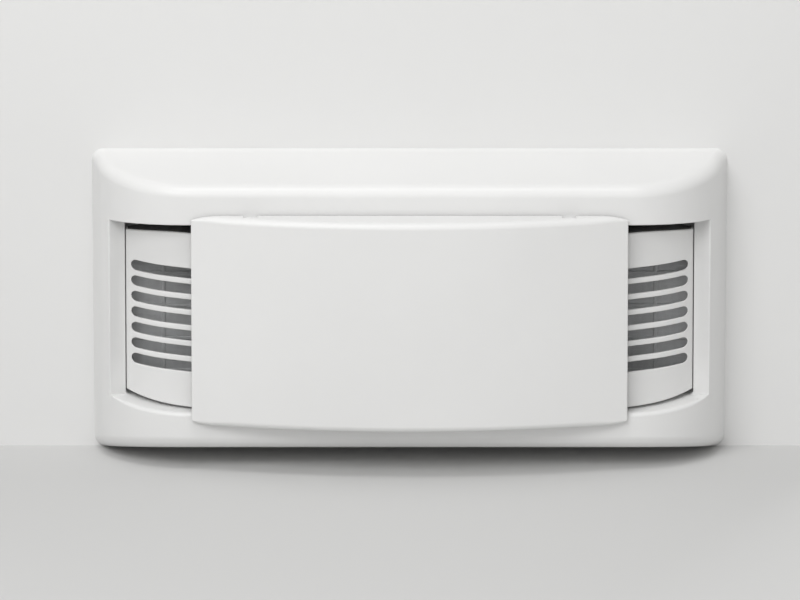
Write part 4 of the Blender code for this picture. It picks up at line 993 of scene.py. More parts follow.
def make_outlet_shade_sheet(sizes):
    """A thin dark strip along the top of the grille insert: a sheet of painted shade that stands in for the
    dark outlet gap there.
    """
    inset, back_d = 0.0022, 0.031
    stations = spread(INSERT_HIGH.x - inset, 30, 1.6)
    shape = bmesh.new()
    bmesh.ops.create_grid(shape, x_segments=len(stations) - 1, y_segments=1, size=1)
    for vert in shape.verts:
        x = stations[round((vert.co.x + 1) / 2 * (len(stations) - 1))]
        d = insert_depth(sizes, x) - inset if vert.co.y > 0 else back_d
        vert.co = face(x, d, opening_height(sizes, x, sizes.insert_top, INSERT_DROP) + 0.0001)
    bmesh.ops.recalc_face_normals(shape, faces=shape.faces[:])
    if sum(f.normal.z for f in shape.faces) < 0:
        bmesh.ops.reverse_faces(shape, faces=shape.faces[:])
    lining_and_shade_sheet = solid("outlet_shade_sheet", shape)
    thick = lining_and_shade_sheet.modifiers.new("thickness", "SOLIDIFY")
    thick.thickness = 0.0008
    thick.offset = 1
    settle(lining_and_shade_sheet)
    # The dark finish on this sheet is painted shade for the outlet gap.
    finish(lining_and_shade_sheet, "dark_foam", "chassis")


def cover_rounding(sizes, x):
    """The long edges' rounding grows from a thin edge at the corner to full over 40 mm."""
    run = 0.040
    grown = min(1.0, (COVER_HIGH.x - abs(x)) / run)
    return sizes.cover_edge * (0.10 + 0.90 * grown * (2 - grown))


def make_front_cover(sizes):
    """The crowned cover with its hinge ears, then its pins, brackets and catch."""
    half = COVER_HIGH.x
    back_d, wall, corner_run = 0.0952, 0.003, 0.030
    face_d = depth_of(COVER_LOW.y)
    radius = (half ** 2 + sizes.cover_sagitta ** 2) / (2 * sizes.cover_sagitta)
    hinge = middle_of("cover_hinge_pin_left")
    hinge_x, hinge_d, hinge_z = abs(hinge.x), depth_of(hinge.y), hinge.z - MID_Z

    def edge_at(x, upper):
        level = COVER_HIGH.z - MID_Z if upper else COVER_LOW.z - MID_Z
        ease = max(0.0, abs(x) - half + corner_run) / corner_run
        return level - math.copysign(0.0042 * ease ** 2.4, level)

    cover = tray(
        "front_cover_moulding", half, spread(half, 24, 1.35),
        lambda x: face_d - radius + math.sqrt(radius ** 2 - x ** 2), edge_at, back_d, wall,
        lambda x: cover_rounding(sizes, x), 0.0008,
    )
    ear_half, ear_offset, ear_reach, notch_half = 0.0015, 0.010, 0.0028, 0.0067
    ears = [
        (face(x - ear_half, hinge_d + ear_reach, hinge_z - ear_reach),
         face(x + ear_half, hinge_d - ear_reach, hinge_z + 0.0030))
        for x in (side * hinge_x + end * ear_offset for side in (-1, 1) for end in (-1, 1))
    ]
    notches = [
        (face(side * hinge_x - notch_half, hinge_d + 0.003, hinge_z - 0.012),
         face(side * hinge_x + notch_half, hinge_d - 0.010, hinge_z + 0.012)) for side in (-1, 1)
    ]
    cut(cover, boxes("notches", notches))
    combine(cover, "UNION", boxes("ears", ears))
    for side in (-1, 1):
        cut(cover, bar("ear_bore", face(side * hinge_x - 0.015, hinge_d, hinge_z),
                       face(side * hinge_x + 0.015, hinge_d, hinge_z), 0.0017, 24))
    finish(cover, "bezel_white", "front_cover", ["front_cover"], degrees=38)
    for side in ("left", "right"):
        refine("cover_hinge_bracket_" + side, 0.0006)
        low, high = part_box("cover_hinge_pin_" + side)
        pin = bar("finished_hinge_pin_" + side, (low.x, hinge.y, hinge.z), (high.x, hinge.y, hinge.z), 0.0015)
        round_edges(pin, 0.0003, 2, 60)
        finish(pin, "bright_steel", "front_cover", ["cover_hinge_pin_" + side])
    refine("cover_catch", 0.0008)


# ---------------------------------------------------------------- filters and controls

def make_air_filters():
    """Framed filters: ribs, a woven sheet between them and a finger tab."""
    for side in ("left", "right"):
        node = "air_filter_" + side
        low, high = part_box(node)
        frame_piece = round_edges(merged_copy(node), 0.0006, 2)
        finish(frame_piece, "filter_mesh", BODY_OF[node], [node])
        threads = bmesh.new()
        middle_y = (low.y + high.y) / 2
        pitch, thread, frame_lap, first = 0.0035, 0.0005, 0.002, 0.004
        near, far = 0.00065, 0.0007
        for column in range(round((high.x - low.x - 0.006) / pitch)):
            x = low.x + first + column * pitch
            add_box(
                threads, (x, middle_y - near, low.z + frame_lap),
                (x + thread, middle_y + far, high.z - frame_lap),
            )
        for row in range(round((high.z - low.z - 0.006) / pitch)):
            z = low.z + first + row * pitch
            add_box(
                threads, (low.x + frame_lap, middle_y - far, z),
                (high.x - frame_lap, middle_y + near, z + thread),
            )
        finish(solid("filter_threads_" + side, threads), "filter_mesh", BODY_OF[node])


def make_knob(name, node):
    """A skirted control knob with a crowned grip bar and a pointer line."""
    low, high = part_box(node)
    x, _, z = Vector(((low.x + high.x) / 2, 0, (low.z + high.z) / 2))
    skirt_y, skirt_depth = WALL_Y - 0.0845, 0.0065
    top_y = skirt_y - skirt_depth
    radius = (high.x - low.x) / 2
    profile = softened([
        (0, skirt_depth), (radius - 0.0022, skirt_depth), (radius, 0.0012), (radius, 0.0), (0, 0.0)
    ], 0.0012)
    knob = turned(name, profile, (x, skirt_y, z), "-Y", 72)

    def upright(label, half, front_y, rear_y, bottom, top):
        return boxes(label, [((x - half, front_y, z + bottom), (x + half, rear_y, z + top))])

    def widen_foot(shape):
        for vert in shape.verts:
            if vert.co.y > top_y:
                vert.co.x = x + (vert.co.x - x) * 1.35

    grip = reshape(upright("grip", 0.0035, low.y, top_y + 0.002, -0.0165, 0.0165), widen_foot)
    round_edges(grip, 0.0016, 4)
    stem = bar("stem", (x, skirt_y - 0.001, z), (x, high.y, z), 0.003, 24)
    combine(knob, "UNION", grip, stem)
    cut(knob, upright("line", 0.0006, low.y - 0.001, low.y + 0.0006, 0.006, 0.0150))
    weld(knob, 2e-5)
    round_edges(knob, 0.0004, 2, 35)
    finish(knob, "bezel_white", BODY_OF[node], [node])
    mark = upright(name + "_pointer", 0.0005, low.y + 0.0001, low.y + 0.0007, 0.0065, 0.0145)
    finish(mark, "black_plastic", BODY_OF[node])


def numeral_mesh(text, size, place):
    """A raised figure for the panel, facing the room."""
    curve = bpy.data.curves.new("numeral", "FONT")
    curve.body = text
    curve.size = size
    curve.align_x = "CENTER"
    curve.align_y = "CENTER"
    curve.extrude = 0.0001
    obj = bpy.data.objects.new("numeral", curve)
    bpy.context.scene.collection.objects.link(obj)
    bpy.context.view_layer.update()
    mesh = bpy.data.meshes.new_from_object(obj.evaluated_get(bpy.context.evaluated_depsgraph_get()))
    bpy.data.objects.remove(obj)
    mesh.transform(Matrix.Translation(place) @ Matrix.Rotation(math.pi / 2, 4, "X"))
    return mesh


def make_dial_marks():
    """Tick marks and plain figures round both knobs, on the control panel."""
    tick_radius, figure_radius, start, sweep = 0.0205, 0.0285, -120, 240
    panel_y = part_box("control_panel")[0].y - 0.00005
    shape = bmesh.new()
    for node, figures in (("mode_knob", "01234"), ("thermostat_knob", "1234567")):
        low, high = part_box(node)
        centre = Vector(((low.x + high.x) / 2, panel_y, (low.z + high.z) / 2))
        ticks = len(figures) * 2 - 1
        for n in range(ticks):
            angle = math.radians(start + sweep * n / (ticks - 1))
            tall = 0.0036 if n % 2 == 0 else 0.0020
            made = add_box(shape, (-0.00035, -0.0001, tick_radius), (0.00035, 0.0, tick_radius + tall))
            bmesh.ops.rotate(shape, matrix=Matrix.Rotation(angle, 3, "Y"), verts=made)
            bmesh.ops.translate(shape, vec=centre, verts=made)
        for n, figure in enumerate(figures):
            angle = math.radians(start + sweep * n / (len(figures) - 1))
            place = centre + Vector((math.sin(angle) * figure_radius, 0, math.cos(angle) * figure_radius))
            shape.from_mesh(numeral_mesh(figure, 0.0062, place))
    bmesh.ops.remove_doubles(shape, verts=shape.verts, dist=1e-6)
    finish(solid("dial_marks", shape), "black_plastic", "chassis")


def make_controls():
    """Everything under the cover, and the vent and outlet flaps."""
    make_knob("mode_knob_moulding", "mode_knob")
    make_knob("thermostat_knob_moulding", "thermostat_knob")
    make_dial_marks()
    refine("control_panel", 0.0010, 3)
    refine("control_box", 0.0006)
    refine("selector_switch", 0.0008)
    refine("thermostat_body", 0.0008)
    low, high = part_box("vent_pull")
    x, z = (low.x + high.x) / 2, (low.z + high.z) / 2
    head = softened([
        (0, 0), (0.0042, 0.0), (0.0055, 0.0012), (0.0055, 0.003), (0.0036, 0.006), (0.0030, 0.010),
        (0.0046, 0.012), (0.002, 0.0122), (0.002, high.y - low.y), (0, high.y - low.y),
    ], 0.0008)
    pull = turned("vent_pull_rod", [(r, -h) for r, h in head], (x, low.y, z), "-Y", 40)
    finish(pull, "bezel_white", "vent_pull", ["vent_pull"])
    refine("vent_door", 0.0004)
    refine("outlet_flap", 0.0004)


# ---------------------------------------------------------------- heat exchangers

def make_heat_exchanger(sizes, node, bends):
    """Thin fins between two end plates, with copper tubes and their return bends."""
    low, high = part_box(node)
    plate, lip, bend_room = 0.0015, 0.003, 0.012
    right_plate = high.x - bend_room
    fin_low = Vector((low.x + 2 * plate, low.y + lip, low.z + lip))
    fin_high = Vector((right_plate - plate, high.y - lip, high.z - lip))
    fins = bmesh.new()
    count = int((fin_high.x - fin_low.x) / sizes.fin_pitch)
    for n in range(count):
        x = fin_low.x + (n + 0.5) * sizes.fin_pitch
        add_box(fins, (x, fin_low.y, fin_low.z), (x + sizes.fin_sheet, fin_high.y, fin_high.z))
    finish(solid(node + "_fins", fins), "aluminium", "chassis", [node])
    plates = boxes(node + "_plates", [
        ((x, low.y, low.z), (x + plate, high.y, high.z)) for x in (low.x, right_plate)
    ])
    round_edges(plates, 0.0005)
    finish(plates, "galvanised_steel", "chassis")
    make_tube_run(sizes, node, bends, fin_low, fin_high, low.x, right_plate + plate)


def make_tube_run(sizes, node, bends, fin_low, fin_high, left, right):
    """The tubes through the fins: straight runs, and a return bend between each pair."""
    shape = bmesh.new()
    pitch = (fin_high.z - fin_low.z) / (2 * bends)
    y = (fin_low.y + fin_high.y) / 2
    for n in range(2 * bends):
        z = fin_low.z + (n + 0.5) * pitch
        made = bmesh.ops.create_cone(
            shape, cap_ends=True, segments=16, radius1=sizes.tube_radius, radius2=sizes.tube_radius,
            depth=right - left + 0.002,
        )["verts"]
        bmesh.ops.rotate(shape, matrix=Matrix.Rotation(math.pi / 2, 3, "Y"), verts=made)
        bmesh.ops.translate(shape, vec=((left + right) / 2, y, z), verts=made)
    for n in range(bends):
        centre = Vector((right, y, fin_low.z + (2 * n + 1) * pitch))
        made = bmesh.ops.create_circle(shape, cap_ends=True, segments=16, radius=sizes.tube_radius)["verts"]
        bmesh.ops.rotate(shape, matrix=Matrix.Rotation(math.pi / 2, 3, "Y"), verts=made)
        bmesh.ops.translate(shape, vec=centre - Vector((0, 0, pitch / 2)), verts=made)
        edges = dict.fromkeys(edge for vert in made for edge in vert.link_edges)
        ring = [*made, *edges, *faces_of(made)]
        bmesh.ops.spin(shape, geom=ring, cent=centre, axis=(0, 1, 0), angle=-math.pi, steps=12)
    bmesh.ops.recalc_face_normals(shape, faces=shape.faces[:])
    finish(solid(node + "_tubes", shape), "copper", "chassis", degrees=50)


# ---------------------------------------------------------------- fans and motor

def add_wheel_blade(shape, count, front_y, back_y, inner, outer):
    """One forward-curved blade, repeated round the wheel."""
    steps, curl, sheet = 6, 0.16, 0.0011
    made = []
    for n in range(steps + 1):
        t = n / steps
        radius = inner + (outer - inner) * t
        angle = curl * t ** 2
        made.append(shape.verts.new((radius * math.cos(angle), front_y, radius * math.sin(angle))))
    edges = [shape.edges.new(pair) for pair in zip(made, made[1:])]
    swept = bmesh.ops.extrude_edge_only(shape, edges=edges)["geom"]
    far = [item for item in swept if isinstance(item, bmesh.types.BMVert)]
    bmesh.ops.translate(shape, vec=(0, back_y - front_y, 0), verts=far)
    walls = [item for item in swept if isinstance(item, bmesh.types.BMFace)]
    bmesh.ops.solidify(shape, geom=walls, thickness=sheet)
    repeat_round(shape, count)


def make_blower_wheel(sizes):
    """Forward-curved blades between a hub disc and a front rim."""
    low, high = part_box("blower_wheel")
    radius = (high.x - low.x) / 2
    back = high.y
    shape = bmesh.new()
    add_wheel_blade(shape, sizes.wheel_blades, low.y + 0.002, back - 0.002, radius - 0.0125, radius - 0.0008)
    bore = 0.0043
    disc = softened([
        (bore, 0.0), (radius, 0.0), (radius, 0.003), (0.020, 0.003), (0.012, 0.006), (0.0115, 0.020),
        (bore, 0.020),
    ], 0.0015)
    add_turned(shape, disc, (0, back, 0), "-Y", 72, closed=True)
    rim = softened([
        (radius - 0.0095, 0.0), (radius - 0.0095, 0.0012), (radius - 0.0015, 0.004), (radius, 0.004),
        (radius, 0.0), (radius - 0.0095, 0.0),
    ], 0.0006)
    add_turned(shape, [(r, -h) for r, h in rim[:-1]], (0, low.y, 0), "-Y", 72, closed=True)
    bmesh.ops.translate(shape, vec=(AXIS_X, 0, AXIS_Z), verts=shape.verts)
    finish(solid("room_blower_wheel", shape), "black_plastic", "fan_rotor", ["blower_wheel"])


def make_condenser_fan(sizes):
    """Twisted, cambered blades between a domed hub and the slinger ring."""
    low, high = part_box("condenser_fan")
    radius = (high.x - low.x) / 2
    middle_y = (low.y + high.y) / 2
    root, end_gap = 0.0215, 0.002
    shape = bmesh.new()
    bmesh.ops.create_grid(shape, x_segments=9, y_segments=8, size=0.5)
    for vert in shape.verts:
        span, chord = vert.co.x + 0.5, vert.co.y
        r = root + (radius - 0.0015 - root) * span
        width = (0.032 + 0.040 * span ** 0.8) * (1.0 if span < 0.9 else 1.0 - 1.2 * (span - 0.9))
        pitch = math.radians(34 - 16 * span)
        along = chord * width + 0.010 * span ** 2
        camber = 0.0035 * (1 - (2 * chord) ** 2)
        angle = along * math.cos(pitch) / max(r, 0.024)
        depth = along * math.sin(pitch) * 0.62 - camber
        depth = max(low.y + end_gap - middle_y, min(high.y - end_gap - middle_y, depth))
        vert.co = Vector((r * math.cos(angle), depth, r * math.sin(angle)))
    bmesh.ops.solidify(shape, geom=shape.faces[:], thickness=0.0018)
    repeat_round(shape, sizes.fan_blades)
    bmesh.ops.translate(shape, vec=(0, middle_y, 0), verts=shape.verts)
    depth = high.y - low.y
    hub = softened([
        (0.0043, 0.0), (0.024, 0.0), (0.024, depth - 0.004), (0.016, depth), (0.0043, depth)
    ], 0.003)
    add_turned(shape, hub, (0, high.y, 0), "-Y", 64, closed=True)
    ring = softened([
        (radius - 0.003, 0.0), (radius, 0.0), (radius, 0.014), (radius - 0.003, 0.014),
        (radius - 0.003, 0.0),
    ], 0.0008)
    add_turned(shape, ring[:-1], (0, low.y + 0.020, 0), "-Y", 96, closed=True)
    bmesh.ops.translate(shape, vec=(AXIS_X, 0, AXIS_Z), verts=shape.verts)
    finish(solid("outdoor_fan", shape), "black_plastic", "fan_rotor", ["condenser_fan"])


def make_motor():
    """The motor's two pressed shells, their cooling slots and the four through bolts."""
    low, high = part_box("fan_motor")
    r = (high.x - low.x) / 2
    depth = high.y - low.y
    profile = softened([
        (0.0043, 0.0), (0.013, 0.0), (0.014, 0.002), (r - 0.006, 0.002), (r - 0.001, 0.007),
        (r - 0.001, 0.024), (r, 0.025), (r, depth - 0.028), (r - 0.001, depth - 0.027),
        (r - 0.001, depth - 0.009), (r - 0.006, depth - 0.004), (0.014, depth - 0.004),
        (0.013, depth), (0.0043, depth),
    ], 0.0025)
    motor = turned("fan_motor_shell", profile, (AXIS_X, high.y, AXIS_Z), "-Y", 80, closed=True)
    cutters = bmesh.new()
    for n in range(10):
        for y in (low.y + 0.016, high.y - 0.016):
            made = add_box(cutters, (r - 0.004, -0.0045, -0.002), (r + 0.004, 0.0045, 0.002))
            bmesh.ops.rotate(cutters, matrix=Matrix.Rotation(math.tau * n / 10, 3, "Y"), verts=made)
            bmesh.ops.translate(cutters, vec=(AXIS_X, y, AXIS_Z), verts=made)
    cut(motor, solid("motor_slots", cutters))
    finish(motor, "black_enamel", "chassis", ["fan_motor"])
    bolts = bmesh.new()
    for n in range(4):
        angle = math.tau * (n + 0.5) / 4
        x, z = AXIS_X + math.cos(angle) * (r - 0.009), AXIS_Z + math.sin(angle) * (r - 0.009)
        head = softened([(0, 0.0022), (0.0030, 0.0022), (0.0034, 0.0), (0, 0.0)], 0.0006)
        add_turned(bolts, head, (x, low.y + 0.0045, z), "-Y", 20)
    finish(solid("motor_bolts", bolts), "bright_steel", "chassis")
    low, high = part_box("motor_shaft")
    shaft = bar("rotor_shaft", (AXIS_X, low.y, AXIS_Z), (AXIS_X, high.y, AXIS_Z), 0.004, 40)
    round_edges(shaft, 0.0006, 2, 60)
    finish(shaft, "bright_steel", "fan_rotor", ["motor_shaft"])
    refine("motor_bracket", 0.0006)
    refine("fan_shroud", 0.0007)


# ---------------------------------------------------------------- refrigerant circuit

def make_compressor():
    """A welded steel shell on a three-armed foot, with its terminal fence."""
    low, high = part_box("compressor")
    r, foot_radius, foot_sheet = 0.050, 0.070, 0.0027
    x, y = (low.x + high.x) / 2, middle_of("accumulator").y
    base, height = low.z, high.z - low.z
    profile = softened([
        (0, height), (0.022, height - 0.001), (0.040, height - 0.009), (r - 0.001, height - 0.024),
        (r - 0.001, height - 0.0355), (r + 0.0004, height - 0.0365), (r + 0.0004, height - 0.0415),
        (r - 0.001, height - 0.0425), (r - 0.001, 0.026), (r - 0.004, 0.010), (0.030, 0.001), (0, 0.001),
    ], 0.006)
    shell = turned("compressor_shell", profile, (x, y, base), "Z", 80)
    feet = bmesh.new()
    bmesh.ops.create_cone(
        feet, cap_ends=True, segments=3, radius1=foot_radius, radius2=foot_radius, depth=foot_sheet
    )
    uprights = [e for e in feet.edges if abs(e.verts[0].co.z - e.verts[1].co.z) > 0.001]
    round_off(feet, uprights, 0.014, 6)
    bmesh.ops.translate(feet, vec=(x, y, base + 0.0017), verts=feet.verts)
    fence = boxes("fence", [((x + 0.040, y - 0.014, base + 0.066), (x + 0.0542, y + 0.014, base + 0.098))])
    combine(shell, "UNION", solid("feet", feet), fence)
    round_edges(shell, 0.0006, 2, 40)
    finish(shell, "black_enamel", "chassis", ["compressor"])
    refine("terminal_cover", 0.0015, 3)
    for n in (1, 2, 3):
        node = f"compressor_grommet_{n}"
        low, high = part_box(node)
        half = (high.z - low.z) / 2
        waist = softened([
            (0, half), (0.010, half), (0.010, 0.0028), (0.0078, 0.0), (0.010, -0.0028), (0.010, -half),
            (0, -half),
        ], 0.0012)
        piece = turned(f"grommet_{n}", waist, middle_of(node), "Z", 40)
        finish(piece, "black_rubber", "chassis", [node])


def make_vessels():
    """The accumulator, the drier with its crimped ends, and the run capacitor."""
    for node, name, radius, slot, shoulder in (
        ("accumulator", "suction_accumulator", 0.0185, "black_enamel", 0.014),
        ("filter_drier", "copper_drier", 0.0095, "copper", 0.010),
    ):
        low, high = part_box(node)
        tall = high.z - low.z
        neck = radius * 0.36
        profile = softened([
            (0, tall), (neck, tall), (neck, tall - shoulder * 0.25), (radius, tall - shoulder),
            (radius, shoulder), (neck, shoulder * 0.25), (neck, 0), (0, 0),
        ], radius * 0.3)
        centre = middle_of(node)
        piece = turned(name, profile, (centre.x, centre.y, low.z), "Z", 56)
        finish(piece, slot, "chassis", [node])
    low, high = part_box("run_capacitor")
    tall, r = high.z - low.z, (high.x - low.x) / 2
    centre = middle_of("run_capacitor")
    can = softened([
        (0, tall - 0.0012), (r - 0.002, tall - 0.0012), (r - 0.002, tall), (r - 0.0002, tall),
        (r, tall - 0.002), (r, 0.002), (r - 0.002, 0), (0, 0),
    ], 0.0008)
    piece = turned("capacitor_can", can, (centre.x, centre.y, low.z), "Z", 56)
    finish(piece, "aluminium", "chassis", ["run_capacitor"])
    half_sheet, half_width = 0.0004, 0.003
    tabs = boxes("capacitor_terminals", [
        ((x - half_sheet, centre.y - half_width, high.z - 0.0015),
         (x + half_sheet, centre.y + half_width, high.z + 0.006))
        for x in (centre.x - 0.007, centre.x + 0.007)
    ])
    finish(tabs, "bright_steel", "chassis")
    refine("capacitor_strap", 0.0004)


def make_tubes():
    """The copper tubes, smoothed from the frame's own runs."""
    for node in (
        "suction_tube", "discharge_tube", "liquid_tube", "expansion_tube", "accumulator_outlet_tube",
        "thermostat_capillary",
    ):
        tube = merged_copy(node)
        tube.modifiers.new("smooth", "SUBSURF").levels = 1
        finish(settle(tube), "copper", BODY_OF[node], [node], degrees=60)
    refine("thermostat_bulb", 0.0008, 3)


# ---------------------------------------------------------------- cabinet and chassis

def add_hood(shape, start, end, out, up, rise):
    """A pressed louvre hood over a slot: a quarter-round lip that fades in at both ends."""
    start, end, out, up = Vector(start), Vector(end), Vector(out), Vector(up)
    fade_length, overlap, sheet = 0.007, 0.0002, 0.0008
    made = bmesh.ops.create_grid(shape, x_segments=16, y_segments=5, size=0.5)["verts"]
    for vert in made:
        u, v = vert.co.x + 0.5, vert.co.y + 0.5
        edge = min(1.0, min(u, 1 - u) * (end - start).length / fade_length)
        full = math.sin(edge * math.pi / 2)
        turn = v * math.pi / 2
        lift = out * (rise * full * math.sin(turn) - overlap)
        vert.co = start.lerp(end, u) + up * (0.0028 * (1 + math.cos(turn)) - 0.001) + lift
    bmesh.ops.solidify(shape, geom=faces_of(made), thickness=sheet)


def make_cabinet(sizes):
    """The folded cabinet, with a pressed hood over each of its side and roof slots."""
    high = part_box("cabinet_shell")[1]
    cabinet = merged_copy("cabinet_shell")

    def fold(shape):
        folds = [
            e for e in shape.edges
            if abs(e.verts[0].co.x - e.verts[1].co.x) < 1e-6 and abs(abs(e.verts[0].co.x) - high.x) < 0.0015
            and all(v.co.z > high.z - 0.0015 for v in e.verts)
            and abs(e.verts[0].co.y - e.verts[1].co.y) > 0.1
        ]
        round_off(shape, folds, 0.0035, 5)

    reshape(cabinet, fold)
    round_edges(cabinet, 0.0004, 2, 50)
    finish(cabinet, "cabinet_paint", "chassis", ["cabinet_shell"], degrees=40)
    hoods = bmesh.new()
    past, rise = 0.003, sizes.hood_height
    side_slots, side_rows, side_first, side_pitch = ((0.035, 0.115), (0.125, 0.180)), 7, 0.107, 0.020
    roof_slots, roof_rows, roof_first, roof_pitch = (-0.210, -0.065, 0.080), 5, 0.068, 0.022
    slot_length = 0.130
    for side in (-1, 1):
        for row in range(side_rows):
            z = side_first + row * side_pitch
            for near_y, far_y in side_slots:
                start, end = (side * high.x, near_y - past, z), (side * high.x, far_y + past, z)
                add_hood(hoods, start, end, (side, 0, 0), (0, 0, -1), rise)
    for row in range(roof_rows):
        y = roof_first + row * roof_pitch
        for x in roof_slots:
            start, end = (x - past, y, high.z), (x + slot_length + past, y, high.z)
            add_hood(hoods, start, end, (0, 0, 1), (0, -1, 0), rise)
    bmesh.ops.recalc_face_normals(hoods, faces=hoods.faces[:])
    finish(solid("cabinet_louvre_hoods", hoods), "cabinet_paint", "chassis")


def make_screws():
    """Pan-head screws with a cross recess, on the cabinet's sides."""
    for n in (1, 2, 3, 4):
        node = f"cabinet_screw_{n}"
        low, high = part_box(node)
        side = math.copysign(1, low.x)
        centre = middle_of(node)
        seat = low.x if side > 0 else high.x
        rise = high.x - low.x
        profile = [
            (0, rise), (0.0018, rise - 0.0001), (0.0034, rise - 0.0009), (0.0042, 0.0005), (0.0042, 0),
            (0, 0),
        ]
        axis = "X" if side > 0 else "-X"
        screw = turned(f"pan_head_screw_{n}", profile, (seat, centre.y, centre.z), axis, 40)
        cut(screw, *[
            boxes("recess", [(
                (seat + side * rise * floor, centre.y - a, centre.z - b),
                (seat + side * (rise + 0.001), centre.y + a, centre.z + b),
            )])
            for floor, a, b in ((0.45, 0.0024, 0.0004), (0.42, 0.0004, 0.0024))
        ])
        finish(screw, "bright_steel", "chassis", [node])


def make_turned_rubber():
    """The supply bush in the cabinet's side and the drain plug under the pan."""
    centre = middle_of("cord_inlet_bush")
    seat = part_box("cabinet_shell")[1].x
    bush = softened([
        (0.0052, -0.008), (0.0080, -0.008), (0.0080, 0.0003), (0.0130, 0.0003), (0.0130, 0.0035),
        (0.0112, 0.006), (0.0062, 0.006), (0.0052, 0.0050), (0.0052, -0.008),
    ], 0.0007)
    piece = turned("supply_bush", bush[:-1], (seat, centre.y, centre.z), "X", 56, closed=True)
    finish(piece, "black_rubber", "chassis", ["cord_inlet_bush"])
    low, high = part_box("drain_plug")
    centre = middle_of("drain_plug")
    tall = high.z - low.z
    plug_profile = softened([
        (0, tall), (0.0055, tall), (0.0060, tall - 0.0008), (0.0060, 0.0029), (0.010, 0.0027),
        (0.010, 0.0005), (0.0085, 0), (0, 0),
    ], 0.0005)
    piece = turned("pan_drain_plug", plug_profile, (centre.x, centre.y, low.z), "Z", 48)
    finish(piece, "black_rubber", "chassis", ["drain_plug"])


def make_chassis_sheets():
    """The pieces that keep their CAD shape, with edges rounded by the given radius."""
    for node, radius in (
        ("base_pan", 0.0005), ("base_rail_left", 0.0006), ("base_rail_right", 0.0006),
        ("bulkhead", 0.0005), ("sash_angle", 0.0005), ("rear_grille", 0.0010),
        ("outlet_duct", 0.0012), ("blower_housing", 0.0012), ("drain_tray", 0.0012),
        ("wall_seal", 0.0012),
    ):
        refine(node, radius)


# ---------------------------------------------------------------- stage

def add_plane(name, centre, width, height, tilt, material):
    """A flat sheet that faces up, or faces the room when tilted by 90 degrees."""
    shape = bmesh.new()
    bmesh.ops.create_grid(shape, x_segments=1, y_segments=1, size=0.5)
    bmesh.ops.scale(shape, vec=(width, height, 1), verts=shape.verts)
    bmesh.ops.rotate(shape, matrix=Matrix.Rotation(math.radians(tilt), 3, "X"), verts=shape.verts)
    bmesh.ops.translate(shape, vec=centre, verts=shape.verts)
    obj = solid(name, shape)
    obj.data.materials.append(material)


def add_light(name, location, target, power, width, height):
    """A rectangular softbox aimed at a point."""
    data = bpy.data.lights.new(name, "AREA")
    data.shape = "RECTANGLE"
    data.size, data.size_y = width, height
    data.energy = power
    obj = bpy.data.objects.new(name, data)
    bpy.context.scene.collection.objects.link(obj)
    obj.location = location
    obj.rotation_euler = (Vector(target) - Vector(location)).to_track_quat("-Z", "Y").to_euler()


def add_camera():
    """A long lens looking 15 degrees down at the middle of the bezel."""
    tilt = math.radians(15)
    lens, sensor, view_width = 540.0, 36.0, 0.7606732
    distance = lens / sensor * view_width
    forward = Vector((0, math.cos(tilt), -math.sin(tilt)))
    right = Vector((1, 0, 0))
    up = right.cross(forward)
    target = Vector((0, WALL_Y, MID_Z)) - right * 0.00903 - up * 0.0019
    data = bpy.data.cameras.new("room_camera")
    data.lens, data.sensor_width, data.clip_end = lens, sensor, 100
    camera = bpy.data.objects.new("room_camera", data)
    bpy.context.scene.collection.objects.link(camera)
    camera.matrix_world = Matrix.Translation(target - forward * distance) @ Matrix(
        (right, up, -forward)
    ).transposed().to_4x4()
    bpy.context.scene.camera = camera


def make_stage(colours):
    """Floor, backdrop, surround light, softboxes and camera."""
    scene = bpy.context.scene
    scene.view_settings.view_transform = "Standard"
    floor_finish = stage_surface("floor_finish", colours.floor)
    wall_finish = stage_surface("backdrop_finish", colours.backdrop, one_sided=True)
    floor_size, wall_width, wall_height = 12.0, 0.84, 0.46
    add_plane("floor", (0, 0, 0), floor_size, floor_size, 0, floor_finish)
    wall_centre = (0, WALL_Y + 0.0001, wall_height / 2)
    add_plane("backdrop", wall_centre, wall_width, wall_height, 90, wall_finish)
    world = bpy.data.worlds.new("studio_surround")
    scene.world = world
    world.use_nodes = True
    background = world.node_tree.nodes["Background"]
    background.inputs["Color"].default_value = (1.0, 0.995, 0.985, 1.0)
    background.inputs["Strength"].default_value = 0.54
    add_light("key_softbox", (-1.0, -2.6, 2.2), (0, WALL_Y, MID_Z), 35.0, 1.8, 1.2)
    add_light("front_fill", (0.5, -2.7, 0.85), (0, WALL_Y, 0.08), 3.5, 1.6, 0.6)
    add_light("top_softbox", (-0.3, -1.2, 3.0), (0, WALL_Y, MID_Z), 21.0, 1.2, 0.7)
    add_light("rear_softbox", (0.8, 2.6, 2.0), (0, 0, MID_Z), 34.0, 1.6, 1.2)
    add_camera()


# ---------------------------------------------------------------- operators and panel

class AC_OT_front_bezel(bpy.types.Operator):
    """Model the front bezel with its rounded cheeks, roof and opening"""
    bl_idname = "air_conditioner.front_bezel"
    bl_label = "Front bezel"

    def execute(self, context):
        make_front_bezel(context.scene.ac_casing)
        return {"FINISHED"}


class AC_OT_grille_insert(bpy.types.Operator):
    """Model the grille insert with its rounded intake slots"""
    bl_idname = "air_conditioner.grille_insert"
    bl_label = "Grille insert"

    def execute(self, context):
        make_grille_insert(context.scene.ac_casing)
        return {"FINISHED"}


class AC_OT_front_cover(bpy.types.Operator):
    """Model the crowned front cover, its hinge pins, brackets and catch"""
    bl_idname = "air_conditioner.front_cover"
    bl_label = "Front cover"

    def execute(self, context):
        make_front_cover(context.scene.ac_casing)
        return {"FINISHED"}


class AC_OT_air_filters(bpy.types.Operator):
    """Model both sliding air filters"""
    bl_idname = "air_conditioner.air_filters"
    bl_label = "Air filters"

    def execute(self, context):
        make_air_filters()
        return {"FINISHED"}


class AC_OT_controls(bpy.types.Operator):
    """Model the control panel, knobs, dial marks, vent pull and outlet flap"""
    bl_idname = "air_conditioner.controls"
    bl_label = "Controls and vent"

    def execute(self, context):
        make_controls()
        return {"FINISHED"}


